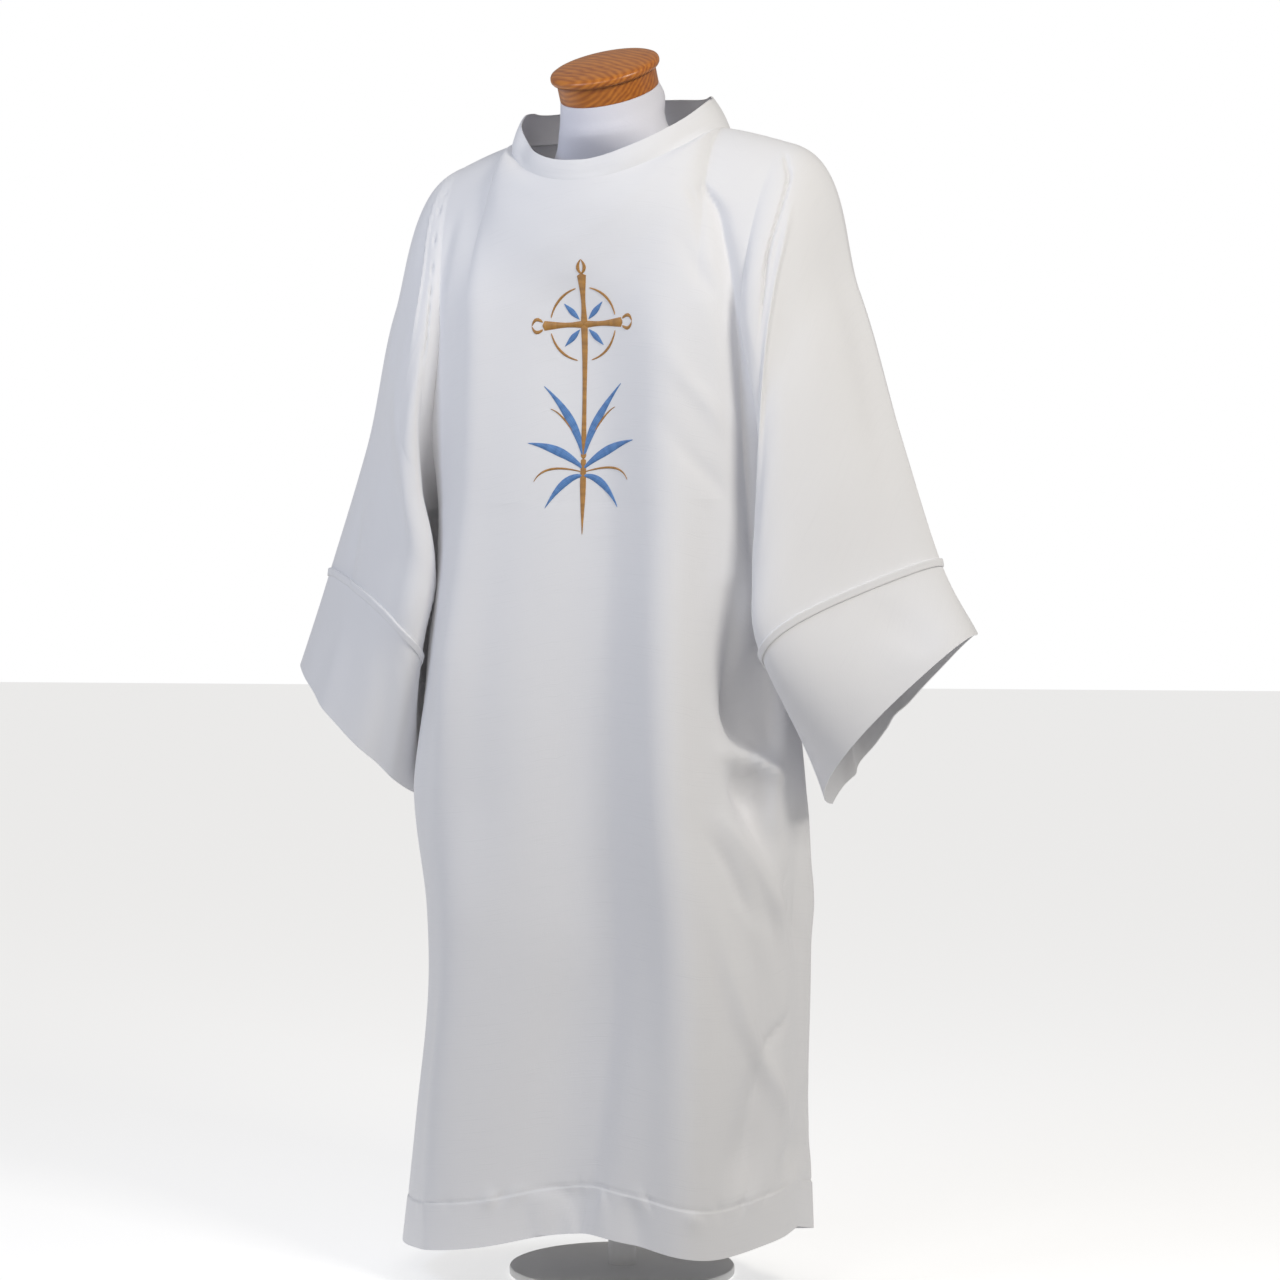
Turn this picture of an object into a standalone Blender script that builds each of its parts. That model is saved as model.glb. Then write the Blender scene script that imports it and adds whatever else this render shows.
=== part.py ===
"""Dalmatic on a limbless dress form.

A white knee-length vestment with wide sleeves, a low stand collar and deep sleeve bands,
worn by a jersey-covered dress form with a wooden neck cap. The form stands on a round base.

Metres, +Z up. The origin is the middle of the base's underside, on the floor. The front of the
garment faces -Y, and the wearer's left is +X. Each piece that is cut and sewn is one object.
Cloth pieces are worked out as their outer surface, row by row. The inner surface lies one wall
further in along the surface's normals, which neighbouring pieces share at their seams.
"""

import math

import bpy
import numpy as np

# ---------------------------------------------------------------- driving dimensions, in metres
CLOTH = 0.002  # wall of the body, sleeves and bands
COLLAR_CLOTH = 0.003  # two layers with an interlining
SEAM = 0.0002  # each piece stops this far short of its seam line

NECK_HALF_WIDTH = 0.130
NECK_FRONT = -0.116
NECK_BACK = 0.098
NECK_FRONT_HEIGHT = 1.246
NECK_SIDE_HEIGHT = 1.312
NECK_BACK_HEIGHT = 1.330
COLLAR_HEIGHT = (0.034, 0.026)  # at the back and at the front
COLLAR_LEAN = (0.52, 0.12)  # how far it leans in for its height, at the back and at the front
COLLAR_BOW = 0.25  # how far it bows out between its edges, for its height
COLLAR_ROWS = (0.0, 0.35, 0.7, 1.0)
NECK_DIP = 1.6  # 1 lets the neck seam drop evenly from the side to the front, more keeps it high

SHOULDER_X = 0.205  # where the armhole seam crosses the top of the shoulder
SHOULDER_HEIGHT = 1.292
SHOULDER_BACK = 0.014  # how far the shoulder seam slants back from the neck to the armhole
SHOULDER_BEND = 1.25  # 1 is a straight shoulder seam, more keeps it high near the neck
NECK_PULL = (0.03, 0.15)  # how the cloth reaches the middle of the neck seam, level and rising
OVER_PULL = 0.17  # how much more level it runs where it goes over the shoulder
CHEST_HEIGHT = 1.100  # the level above which the cloth turns back over the shoulder
CHEST_PULL = 0.17  # how far it keeps rising straight before it turns
CHEST_STEP = 0.01  # the slope at the chest is measured over this height
UNDERARM_HEIGHT = 0.885
ARMHOLE_FRONT = -0.096
ARMHOLE_BACK = 0.084
ARMHOLE_ROUND = 0.65  # 0.5 is a rounded foot of the armhole, 1 a pointed one
SQUEEZE = 2.4  # how far towards the panel's edges its columns are pressed together by the armhole

# Body of the garment by height: the x of its middle, half the width, the y of the side seams,
# the y of the middle of the front and of the back, and how square the section is (2 is an
# ellipse). Above the underarm the armhole cuts the section short, so its half width reaches out
# under the sleeve.
BODY_COLUMNS = ("height", "middle_x", "half_width", "side_y", "front_y", "back_y", "square")
BODY = (
    (0.000, -0.008, 0.242, -0.040, -0.188, 0.110, 2.15),
    (0.150, -0.003, 0.231, -0.036, -0.178, 0.109, 2.20),
    (0.320, 0.003, 0.221, -0.030, -0.166, 0.108, 2.25),
    (0.500, -0.003, 0.225, -0.026, -0.158, 0.108, 2.30),
    (0.700, -0.005, 0.223, -0.020, -0.148, 0.108, 2.35),
    (UNDERARM_HEIGHT, 0.000, 0.218, -0.010, -0.134, 0.107, 2.45),
    (0.990, 0.000, 0.234, -0.006, -0.127, 0.106, 2.55),
    (CHEST_HEIGHT, 0.000, 0.246, -0.004, -0.122, 0.104, 2.70),
)
SKIRT_ROWS = 8
ARMHOLE_ROWS = 9  # rows below the chest level, and as many above it
NECK_COLUMNS = 10  # from the middle to the side of the neck
SHOULDER_COLUMNS = 8  # from the side of the neck to the armhole
NECK_SHARE = 0.56  # how much of the half panel ends at the neckline

# Height of the hem round the garment: share of the half panel (-1 is the wearer's right).
HEM_COLUMNS = ("share", "front", "back")
HEM = (
    (-1.00, 0.034, 0.034),
    (-0.62, 0.038, 0.034),
    (-0.28, 0.052, 0.045),
    (0.00, 0.0725, 0.040),
    (0.12, 0.077, 0.043),
    (0.32, 0.071, 0.052),
    (0.62, 0.0565, 0.056),
    (0.82, 0.068, 0.066),
    (1.00, 0.079, 0.079),
)

# Large folds of each panel. top_at and foot_at are the fold's distance from the middle of the
# panel, along the cloth, at its top and foot. depth is how far its crest stands out, and is
# negative for a trough.
FOLD_COLUMNS = ("top_at", "foot_at", "top", "foot", "half_width", "depth")
FRONT_FOLDS = (
    (0.004, 0.000, 1.200, -0.200, 0.078, -0.012),
    (0.100, 0.172, 1.200, -0.200, 0.040, 0.013),
    (-0.120, -0.150, 1.230, 0.560, 0.030, 0.006),
    (-0.150, -0.205, 0.800, 0.250, 0.030, 0.006),
    (0.190, 0.245, 1.250, 0.860, 0.020, -0.013),
    (-0.200, -0.235, 1.230, 0.900, 0.018, -0.008),
    (0.002, -0.002, 0.420, -0.200, 0.055, -0.009),
    (-0.120, -0.128, 0.560, -0.200, 0.050, 0.012),
    (0.195, 0.305, 0.560, 0.280, 0.020, -0.009),
    (0.270, 0.330, 0.200, 0.020, 0.018, -0.008),
    (0.232, 0.226, 0.800, 0.480, 0.028, -0.016),
    (-0.235, -0.235, 0.700, 0.420, 0.045, 0.012),
)
BACK_FOLDS = (
    (0.000, 0.000, 1.150, -0.200, 0.040, -0.016),
    (0.095, 0.115, 1.060, -0.200, 0.042, 0.013),
    (-0.100, -0.125, 1.080, -0.200, 0.044, 0.014),
    (0.185, 0.215, 1.040, -0.200, 0.034, -0.013),
    (-0.190, -0.210, 1.000, -0.200, 0.032, -0.014),
    (0.265, 0.275, 0.680, -0.200, 0.028, 0.009),
    (-0.265, -0.275, 0.640, -0.200, 0.028, 0.009),
)
FOLDED, SMOOTH = 0.2, 0.7  # cosine between the normals beside a seam: folded there, or smooth
FOLD_FADE = 0.16  # a fold dies away over this height at its ends
SEAM_FADE = 0.035  # and over this length of cloth at its side edges

# Sleeves by station, from just off the shoulder to the cuff. outer is the top fold and under the
# underarm seam. front and back say how far the middle of each layer lies from the straight line
# between those two, and low how much of that fullness has dropped to the lower half.
SLEEVE_COLUMNS = (
    "outer_x", "outer_y", "outer_z", "under_x", "under_y", "under_z",
    "front_x", "front_y", "front_z", "back_x", "back_y", "back_z", "low",
)
LEFT_SLEEVE = (
    (0.286, 0.014, 1.125, 0.228, 0.000, 0.828, -0.030, -0.115, 0.000, -0.030, 0.104, 0.000, 0.10),
    (0.337, 0.008, 0.960, 0.240, 0.000, 0.752, -0.046, -0.122, 0.000, -0.030, 0.112, 0.000, 0.30),
    (0.386, 0.004, 0.815, 0.250, 0.000, 0.680, -0.045, -0.118, 0.010, -0.026, 0.108, 0.010, 0.60),
)
LEFT_CUFF = (0.429, 0.002, 0.736, 0.246, 0.030, 0.545, 0.010, -0.105, 0.006, -0.012, 0.082, 0.028, 0.35)
RIGHT_SLEEVE = (
    (0.298, 0.014, 1.128, 0.228, 0.000, 0.828, -0.030, -0.115, 0.000, -0.030, 0.104, 0.000, 0.10),
    (0.344, 0.008, 0.960, 0.240, 0.000, 0.752, -0.066, -0.108, 0.000, -0.030, 0.112, 0.000, 0.20),
    (0.393, 0.004, 0.812, 0.250, 0.000, 0.670, -0.066, -0.108, 0.022, -0.026, 0.108, 0.010, 0.50),
)
RIGHT_CUFF = (0.430, 0.000, 0.702, 0.252, 0.000, 0.546, -0.030, -0.098, -0.004, -0.034, 0.094, 0.020, 0.30)
SLEEVE_ROWS = (4, 3, 3)  # rows between the armhole and each station
BAND_ROWS = 4
SLEEVE_GAP = 0.013  # the sleeves hang at least this far off the sides of the body
# How the sleeve leaves the armhole: over the shoulder, out of the front and back folds, and under
# the arm, each as a direction and a length.
LEAVE_TOP = ((0.96, 0.0, -0.27), 0.20)
LEAVE_FOLD = ((0.42, 0.88, -0.22), 0.10)
LEAVE_UNDER = ((0.30, 0.0, -0.95), 0.07)

# The welt over the seam of a sleeve's band: its section across the seam and out from the cloth.
WELT_WIDTH = 0.009
WELT_HEIGHT = 0.004
WELT_LIFT = 0.0009  # its underside stays this far off the cloth
WELT_SECTION = ((0.5, 0.0), (0.42, 0.6), (0.16, 1.0), (-0.16, 1.0), (-0.42, 0.6), (-0.5, 0.0))

# Dress form: rings by height, with the tilt of each ring about X, in degrees.
FORM_COLUMNS = ("height", "half_width", "front_y", "back_y", "tilt")
FORM = (
    (0.600, 0.142, -0.104, 0.070, 0),
    (0.620, 0.154, -0.112, 0.077, 0),
    (0.660, 0.160, -0.116, 0.080, 0),
    (0.740, 0.156, -0.112, 0.079, 0),
    (0.830, 0.140, -0.098, 0.074, 0),
    (0.910, 0.134, -0.092, 0.070, 0),
    (0.990, 0.142, -0.094, 0.070, 0),
    (1.070, 0.152, -0.092, 0.070, 0),
    (1.140, 0.160, -0.086, 0.066, 0),
    (1.190, 0.164, -0.066, 0.052, 0),
    (1.225, 0.158, -0.046, 0.036, 0),
    (1.245, 0.140, -0.040, 0.034, 0),
    (1.258, 0.118, -0.044, 0.036, 0),
    (1.270, 0.098, -0.050, 0.038, 3),
    (1.284, 0.082, -0.058, 0.038, 8),
    (1.300, 0.071, -0.068, 0.034, 14),
    (1.318, 0.064, -0.079, 0.026, 21),
)
FORM_SEGMENTS = 28
NECK_TILT = 28.0
NECK_RADIUS = 0.0575
CAP_RADIUS = 0.0635
CAP_THICKNESS = 0.012
CAP_CENTRE = (0.0, -0.050, 1.388)
# The cap from its underside up: shares of its radius and of its thickness.
CAP_PROFILE = ((0.95, 1.0), (1.0, 0.75), (1.0, 0.5), (0.97, 0.25), (0.72, 0.04), (0.35, -0.12))
NECK_RING_LENGTH = 0.022
NECK_FLARE = 0.004  # how much wider the torso's last ring but one is than the neck
NECK_FLARE_DROP = 0.018  # and how far below the wood it lies
POLE_RADIUS = 0.016
BASE_RADIUS = 0.130
BASE_THICKNESS = 0.010
TOUCH = 0.0003  # gap between hard pieces that meet

WHITE = (0.86, 0.86, 0.87)
JERSEY = (0.82, 0.82, 0.88)
WOOD = (0.42, 0.19, 0.06)
LACQUER = (0.85, 0.85, 0.85)


# ---------------------------------------------------------------- small helpers
def column(table, names, name):
    """One named column of a table."""
    return np.array([row[names.index(name)] for row in table], float)


def smooth_through(xs, ys, x):
    """A cubic that passes through the table's points, with no overshoot at its ends."""
    xs, ys = np.asarray(xs, float), np.asarray(ys, float)
    slopes = np.gradient(ys, xs)
    x = np.clip(x, xs[0], xs[-1])
    i = np.clip(np.searchsorted(xs, x) - 1, 0, len(xs) - 2)
    step = xs[i + 1] - xs[i]
    t = (x - xs[i]) / step
    return (
        (1 + 2 * t) * (1 - t) ** 2 * ys[i]
        + t * (1 - t) ** 2 * step * slopes[i]
        + t * t * (3 - 2 * t) * ys[i + 1]
        + t * t * (t - 1) * step * slopes[i + 1]
    )


def hermite(start, start_pull, end, end_pull, t):
    """A cubic from start to end with those tangents."""
    return (
        (1 + 2 * t) * (1 - t) ** 2 * start
        + t * (1 - t) ** 2 * start_pull
        + t * t * (3 - 2 * t) * end
        + t * t * (t - 1) * end_pull
    )


def ease(t):
    """0 to 1 with level ends."""
    t = np.clip(t, 0.0, 1.0)
    return t * t * (3 - 2 * t)


def body_value(name, height):
    heights, values = column(BODY, BODY_COLUMNS, "height"), column(BODY, BODY_COLUMNS, name)
    return float(smooth_through(heights, values, height))


# ---------------------------------------------------------------- front and back panels
def armhole_y(facing, height):
    """The y of a panel's side edge: the side seam below the arm, the armhole above it."""
    side = body_value("side_y", height)
    if height <= UNDERARM_HEIGHT:
        return side
    fold = ARMHOLE_FRONT if facing < 0 else ARMHOLE_BACK
    drop = (CHEST_HEIGHT - height) / (CHEST_HEIGHT - UNDERARM_HEIGHT)
    return side + (fold - side) * max(0.0, 1.0 - drop * drop) ** ARMHOLE_ROUND


def section_length(facing, height):
    """Length of cloth from the middle of a panel to its side seam, or the line that continues it."""
    turn = np.linspace(0.0, math.pi / 2, 121)
    power = 2.0 / body_value("square", height)
    depth = body_value("front_y" if facing < 0 else "back_y", height) - body_value("side_y", height)
    x = body_value("half_width", height) * np.sin(turn) ** power
    y = depth * np.cos(turn) ** power
    return float(np.hypot(np.diff(x), np.diff(y)).sum())


def level_row(facing, height, shares):
    """Points of a panel at one height, and how far each lies from its middle along the cloth."""
    side_y = body_value("side_y", height)
    depth = body_value("front_y" if facing < 0 else "back_y", height) - side_y
    power = 2.0 / body_value("square", height)
    cut = (armhole_y(facing, height) - side_y) / depth
    turn = np.linspace(0.0, math.acos(cut ** (1 / power)), 241)
    x = body_value("half_width", height) * np.sin(turn) ** power
    y = side_y + depth * np.cos(turn) ** power
    run = np.concatenate([[0.0], np.cumsum(np.hypot(np.diff(x), np.diff(y)))])
    size = np.abs(shares)
    whole = section_length(facing, height)
    at = whole * size - (whole - run[-1]) * size**SQUEEZE
    across = body_value("middle_x", height) + np.sign(shares) * np.interp(at, run, x)
    return np.stack([across, np.interp(at, run, y), np.full(len(shares), height)], axis=1), at


def neckline(angle):
    """A point of the neck seam. Angle 0 is the middle of the front, 90 degrees the wearer's left."""
    forward = np.cos(angle)
    y = np.where(forward > 0, NECK_FRONT, -NECK_BACK) * forward
    end = np.where(forward > 0, NECK_FRONT_HEIGHT, NECK_BACK_HEIGHT)
    z = NECK_SIDE_HEIGHT + (end - NECK_SIDE_HEIGHT) * np.abs(forward) ** NECK_DIP
    return np.stack([NECK_HALF_WIDTH * np.sin(angle), y, z], axis=-1)


def panel_top(facing, shares):
    """The neckline and the shoulder seams that end a panel, and the way the cloth reaches them."""
    size = np.abs(shares)
    turn = np.clip(size / NECK_SHARE, 0.0, 1.0) * math.pi / 2
    neck = neckline(turn if facing < 0 else math.pi - turn)
    along = np.clip((size - NECK_SHARE) / (1.0 - NECK_SHARE), 0.0, 1.0)
    neck[:, 0] += along * (SHOULDER_X - NECK_HALF_WIDTH)
    neck[:, 1] = np.where(size > NECK_SHARE, along * SHOULDER_BACK, neck[:, 1])
    neck[:, 2] += (SHOULDER_HEIGHT - NECK_SIDE_HEIGHT) * along**SHOULDER_BEND
    neck[:, 0] *= np.sign(shares)
    over = np.sin(turn) ** 2
    pull = np.zeros_like(neck)
    pull[:, 1] = -facing * (NECK_PULL[0] + OVER_PULL * over)
    pull[:, 2] = NECK_PULL[1] * (1.0 - over)
    return neck, pull


def fold_rise(folds, across, heights):
    """How far the folds move a panel's points out along its normal. across is the distance of
    each point from the panel's middle, along the cloth."""
    rise = np.zeros_like(heights)
    reach = np.abs(across[:, -1:])
    edge = ease((reach - np.abs(across)) / SEAM_FADE)
    for row in folds:
        fold = dict(zip(FOLD_COLUMNS, row))
        down = np.clip((fold["top"] - heights) / (fold["top"] - fold["foot"]), 0.0, 1.0)
        middle = fold["top_at"] + (fold["foot_at"] - fold["top_at"]) * down
        ends = ease((fold["top"] - heights) / FOLD_FADE) * ease((heights - fold["foot"]) / FOLD_FADE)
        rise += fold["depth"] * np.exp(-(((across - middle) / fold["half_width"]) ** 2)) * ends * edge
    return rise


def panel_rows():
    """The rows of a panel from the hem up: (level, None) below the chest, (None, share) above it."""
    skirt = np.linspace(0.0, 1.0, SKIRT_ROWS + 1)[:-1]
    swing = np.linspace(0.0, math.pi / 2, ARMHOLE_ROWS + 1)
    drop = CHEST_HEIGHT - UNDERARM_HEIGHT
    rows = [(share * UNDERARM_HEIGHT, None) for share in skirt]
    rows += [(CHEST_HEIGHT - drop * math.cos(a), None) for a in swing]
    rows += [(None, share) for share in np.linspace(0.0, 1.0, ARMHOLE_ROWS + 1)[1:]]
    return rows


def panel_shares():
    """The columns of a panel: shares of its half width, negative on the wearer's right."""
    neck = np.linspace(0.0, NECK_SHARE, NECK_COLUMNS + 1)
    shoulder = np.linspace(NECK_SHARE, 1.0, SHOULDER_COLUMNS + 1)[1:]
    half = np.concatenate([neck, shoulder])
    return np.concatenate([-half[:0:-1], half])


def panel_surface(facing):
    """The outer points of the front (facing -1) or back (+1) panel, row by row from the hem."""
    shares = panel_shares()
    hem = smooth_through(
        column(HEM, HEM_COLUMNS, "share"), column(HEM, HEM_COLUMNS, "front" if facing < 0 else "back"), shares
    )
    top, top_pull = panel_top(facing, shares)
    chest, chest_at = level_row(facing, CHEST_HEIGHT, shares)
    below, _ = level_row(facing, CHEST_HEIGHT - CHEST_STEP, shares)
    chest_pull = (chest - below) / CHEST_STEP * CHEST_PULL
    points, across = [], []
    for height, share in panel_rows():
        at = chest_at
        if share is None:
            row, at = level_row(facing, height, shares)
            row[:, 2] += hem * max(0.0, 1.0 - height / UNDERARM_HEIGHT)
        else:
            row = hermite(chest, chest_pull, top, top_pull, share)
        points.append(row)
        across.append(np.sign(shares) * at)
    points = np.array(points)
    folds = FRONT_FOLDS if facing < 0 else BACK_FOLDS
    rise = fold_rise(folds, np.array(across), points[:, :, 2])
    return points - facing * grid_normals(points) * rise[:, :, None]


# ---------------------------------------------------------------- sleeves
def armhole_loop(surfaces):
    """The armhole edge of the front and back panels on the wearer's left, from the shoulder round
    the front, under the arm and up the back."""
    front, back = (s[SKIRT_ROWS:, -1] for s in surfaces)
    return np.concatenate([front[::-1], back[1:-1]])


def sleeve_loop(station, count):
    """The closed section of a sleeve at one station."""
    s = dict(zip(SLEEVE_COLUMNS, station))
    outer = np.array([s["outer_x"], s["outer_y"], s["outer_z"]])
    under = np.array([s["under_x"], s["under_y"], s["under_z"]])
    turn = np.arange(count) * 2 * math.pi / count
    swing = (1 + np.cos(turn)) / 2
    full = np.abs(np.sin(turn)) * (1 - s["low"] * np.cos(turn))
    layers = np.where(
        (turn <= math.pi)[:, None],
        np.array([s["front_x"], s["front_y"], s["front_z"]]),
        np.array([s["back_x"], s["back_y"], s["back_z"]]),
    )
    return under + (outer - under) * swing[:, None] + layers * full[:, None]


def clear_of_body(points):
    """Sleeve points that would lie in the body of the garment, moved out past its side."""
    points = points.copy()
    for point in points:
        if point[2] > UNDERARM_HEIGHT:
            continue
        side_y = body_value("side_y", point[2])
        off = point[:2] - np.array([0.0, side_y])
        depth = abs(body_value("front_y" if off[1] < 0 else "back_y", point[2]) - side_y)
        power = body_value("square", point[2])
        reach = np.array([body_value("half_width", point[2]), depth]) + SLEEVE_GAP
        size = (np.abs(off / reach) ** power).sum() ** (1 / power)
        away = ease((UNDERARM_HEIGHT - point[2]) / SLEEVE_GAP)
        if size < 1.0:
            point[:2] += off * (1.0 / size - 1.0) * away
    return points


def leave_armhole(count):
    """The tangent with which the sleeve leaves each point of the armhole."""
    turn = np.arange(count) * 2 * math.pi / count
    over = np.maximum(0.0, np.cos(turn)) ** 2
    under = np.maximum(0.0, -np.cos(turn)) ** 2
    aside = np.sin(turn) ** 2
    facing = np.stack([np.ones(count), -np.sign(np.sin(turn)), np.ones(count)], axis=1)
    fold = np.array(LEAVE_FOLD[0]) * facing
    pull = (
        over[:, None] * np.array(LEAVE_TOP[0]) * LEAVE_TOP[1]
        + aside[:, None] * fold * LEAVE_FOLD[1]
        + under[:, None] * np.array(LEAVE_UNDER[0]) * LEAVE_UNDER[1]
    )
    return pull


def sleeve_surface(surfaces, stations, cuff):
    """The outer points of a left sleeve and of its band, row by row from the armhole."""
    start = armhole_loop(surfaces)
    count = len(start)
    loops = [start] + [sleeve_loop(row, count) for row in stations] + [sleeve_loop(cuff, count)]
    pulls = [leave_armhole(count)]
    pulls += [(loops[i + 1] - loops[i - 1]) / 2 for i in range(1, len(loops) - 1)]
    pulls += [(loops[-1] - loops[-2])]
    rows = []
    for i, steps in enumerate(SLEEVE_ROWS):
        for t in np.linspace(0.0, 1.0, steps + 1)[: -1 if i < len(SLEEVE_ROWS) - 1 else None]:
            rows.append(hermite(loops[i], pulls[i], loops[i + 1], pulls[i + 1], t))
    band = [
        hermite(loops[-2], pulls[-2], loops[-1], pulls[-1], t) for t in np.linspace(0.0, 1.0, BAND_ROWS + 1)
    ]
    return np.array([clear_of_body(row) for row in rows]), np.array([clear_of_body(row) for row in band])


def shortened(points, guide, first, last):
    """The grid with its first and last rows moved in by SEAM where asked, the way the guide runs."""
    points = points.copy()
    for asked, edge, inner in ((first, 0, 1), (last, -1, -2)):
        if asked:
            way = guide[inner] - guide[edge]
            points[edge] = points[edge] + way / np.linalg.norm(way, axis=1, keepdims=True) * SEAM
    return points


def turned_about(grid):
    """The grid with its rows as columns."""
    return grid.transpose(1, 0, 2)


def grid_normals(points, closed=False):
    """Unit normals of a grid, facing out where its rows run up and its columns run to the left
    of the wearer, as seen from in front."""
    if closed:
        across = np.roll(points, -1, axis=1) - np.roll(points, 1, axis=1)
    else:
        across = np.gradient(points, axis=1)
    normals = np.cross(across, np.gradient(points, axis=0))
    return normals / np.maximum(np.linalg.norm(normals, axis=2, keepdims=True), 1e-12)


def share_normals(one, other):
    """Both sides of a seam get the normal between theirs where the cloth runs smoothly over it,
    and keep their own where it folds."""
    likeness = (one * other).sum(axis=-1, keepdims=True)
    along = np.clip((likeness - FOLDED) / (SMOOTH - FOLDED), 0.0, 1.0)
    middle = (one + other) / 2
    pair = []
    for own in (one, other):
        mixed = own + (middle - own) * along
        pair.append(mixed / np.linalg.norm(mixed, axis=-1, keepdims=True))
    return pair


# ---------------------------------------------------------------- building objects
def clear_scene():
    for old in list(bpy.data.objects):
        bpy.data.objects.remove(old)


def material(name, colour, roughness, metallic=0.0):
    made = bpy.data.materials.new(name)
    made.use_nodes = True
    shader = made.node_tree.nodes["Principled BSDF"]
    shader.inputs["Base Color"].default_value = (*colour, 1.0)
    shader.inputs["Roughness"].default_value = roughness
    shader.inputs["Metallic"].default_value = metallic
    return made


def add_object(name, points, faces, finish):
    mesh = bpy.data.meshes.new(name)
    mesh.from_pydata([tuple(p) for p in points], [], faces)
    mesh.materials.append(finish)
    mesh.shade_smooth()
    mesh.set_sharp_from_angle(angle=math.radians(40))
    made = bpy.data.objects.new(name, mesh)
    bpy.context.scene.collection.objects.link(made)
    return made


def grid_faces(rows, columns, closed):
    """Quads of a grid of rows by columns, the last column joined to the first where closed."""
    faces = []
    for r in range(rows - 1):
        for c in range(columns if closed else columns - 1):
            d = (c + 1) % columns
            faces.append((r * columns + c, r * columns + d, (r + 1) * columns + d, (r + 1) * columns + c))
    return faces


def cloth_piece(name, outer, inner, finish, closed=False):
    """A sewn piece between its outer and inner surface, closed along its edges."""
    rows, columns = outer.shape[:2]
    count = rows * columns
    faces = grid_faces(rows, columns, closed)
    faces += [tuple(count + i for i in face[::-1]) for face in faces]
    foot = list(range(columns))
    top = [(rows - 1) * columns + c for c in range(columns)]
    rims = [foot[::-1], top]
    if closed:
        rims = [rim + rim[:1] for rim in rims]
    else:
        rims.append([r * columns for r in range(rows)])
        rims.append([r * columns + columns - 1 for r in reversed(range(rows))])
    for rim in rims:
        for a, b in zip(rim, rim[1:]):
            # Both sides of a seam are cut along the same diagonal, so that they stay parallel.
            pivot = count + max(a, b)
            faces.append((a, b, pivot))
            faces.append((a, pivot, count + a) if a < b else (b, count + b, pivot))
    points = np.concatenate([outer.reshape(-1, 3), inner.reshape(-1, 3)])
    return add_object(name, points, faces, finish)


def mirrored(grid):
    """The same grid for the wearer's other side, with its columns the other way round."""
    return (grid * np.array([-1.0, 1.0, 1.0]))[:, ::-1]


def build_panels():
    """The outer surfaces of the front and back, and their normals, shared at their seams."""
    front, back = panel_surface(-1), panel_surface(1)
    normals = {-1: grid_normals(front), 1: -grid_normals(back)}
    shoulders = (np.s_[-1, : SHOULDER_COLUMNS + 1], np.s_[-1, -SHOULDER_COLUMNS - 1 :])
    sides = (np.s_[: SKIRT_ROWS + 1, 0], np.s_[: SKIRT_ROWS + 1, -1])
    for seam in shoulders + sides:
        normals[-1][seam], normals[1][seam] = share_normals(normals[-1][seam], normals[1][seam])
    return {-1: front, 1: back}, normals


def close_panels(surfaces, normals, finish):
    """The front and back as walls, a little short of the side, armhole and shoulder seams."""
    for name, facing in (("front", -1), ("back", 1)):
        outer = surfaces[facing]
        inner = outer - normals[facing] * CLOTH
        sheets = []
        for sheet in (outer, inner):
            cut = shortened(sheet, outer, False, True)
            cut = turned_about(shortened(turned_about(cut), turned_about(outer), True, True))
            sheets.append(cut if facing < 0 else cut[:, ::-1])
        cloth_piece(name, *sheets, finish)


def welt_surface(sleeve, band):
    """A flat raised ring over the seam between a sleeve and its band, from the points of both."""
    middle = band[0]
    along = sleeve[-2] - band[1]
    along /= np.linalg.norm(along, axis=1, keepdims=True)
    around = np.roll(middle, -1, axis=0) - np.roll(middle, 1, axis=0)
    out = np.cross(around, along)
    out /= np.linalg.norm(out, axis=1, keepdims=True)
    away = middle - middle.mean(axis=0)
    if (out * away).sum() < 0:
        out = -out
    rows = [middle + along * WELT_WIDTH * w + out * (WELT_LIFT + WELT_HEIGHT * h) for w, h in WELT_SECTION]
    return np.array(rows)


def build_sleeve(side, surfaces, normals, stations, cuff, finish):
    """One sleeve with its band and welt, worked out on the wearer's left and mirrored if asked.

    The armhole's normals on the panels are brought into line with the sleeve's.
    """
    right = side == "right"
    if right:
        surfaces = {f: mirrored(s) for f, s in surfaces.items()}
        normals = {f: mirrored(n) for f, n in normals.items()}
    sleeve, band = sleeve_surface((surfaces[-1], surfaces[1]), stations, cuff)
    whole = np.concatenate([sleeve, band[1:]])
    out = grid_normals(whole, closed=True)
    edge = armhole_loop((normals[-1], normals[1]))
    out[0], edge = share_normals(out[0], edge)
    front_count = len(surfaces[-1]) - SKIRT_ROWS
    column = 0 if right else -1
    front_edge = edge[:front_count][::-1]
    back_edge = np.concatenate([edge[front_count - 1:], edge[:1]])
    flip = np.array([-1.0, 1.0, 1.0]) if right else np.ones(3)
    ends = {-1: front_edge * flip, 1: back_edge * flip}
    welt = welt_surface(sleeve, band)
    inner = whole - out * CLOTH
    pieces = {
        "sleeve": (sleeve, inner[: len(sleeve)], True, True),
        "band": (band, inner[len(sleeve) - 1:], True, False),
    }
    for kind, (outer, inside, first, last) in pieces.items():
        sheets = [shortened(sheet, outer, first, last) for sheet in (outer, inside)]
        sheets = [mirrored(sheet) if right else sheet for sheet in sheets]
        cloth_piece(f"{kind}_{side}", *sheets, finish, closed=True)
    build_welt(f"welt_{side}", mirrored(welt) if right else welt, finish)
    return column, ends


def build_welt(name, ring, finish):
    """The closed ring of the welt: its section joined all round."""
    section, count = ring.shape[:2]
    faces = []
    for s in range(section):
        n = (s + 1) % section
        for c in range(count):
            d = (c + 1) % count
            faces.append((s * count + c, s * count + d, n * count + d, n * count + c))
    return add_object(name, ring.reshape(-1, 3), faces, finish)


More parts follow.
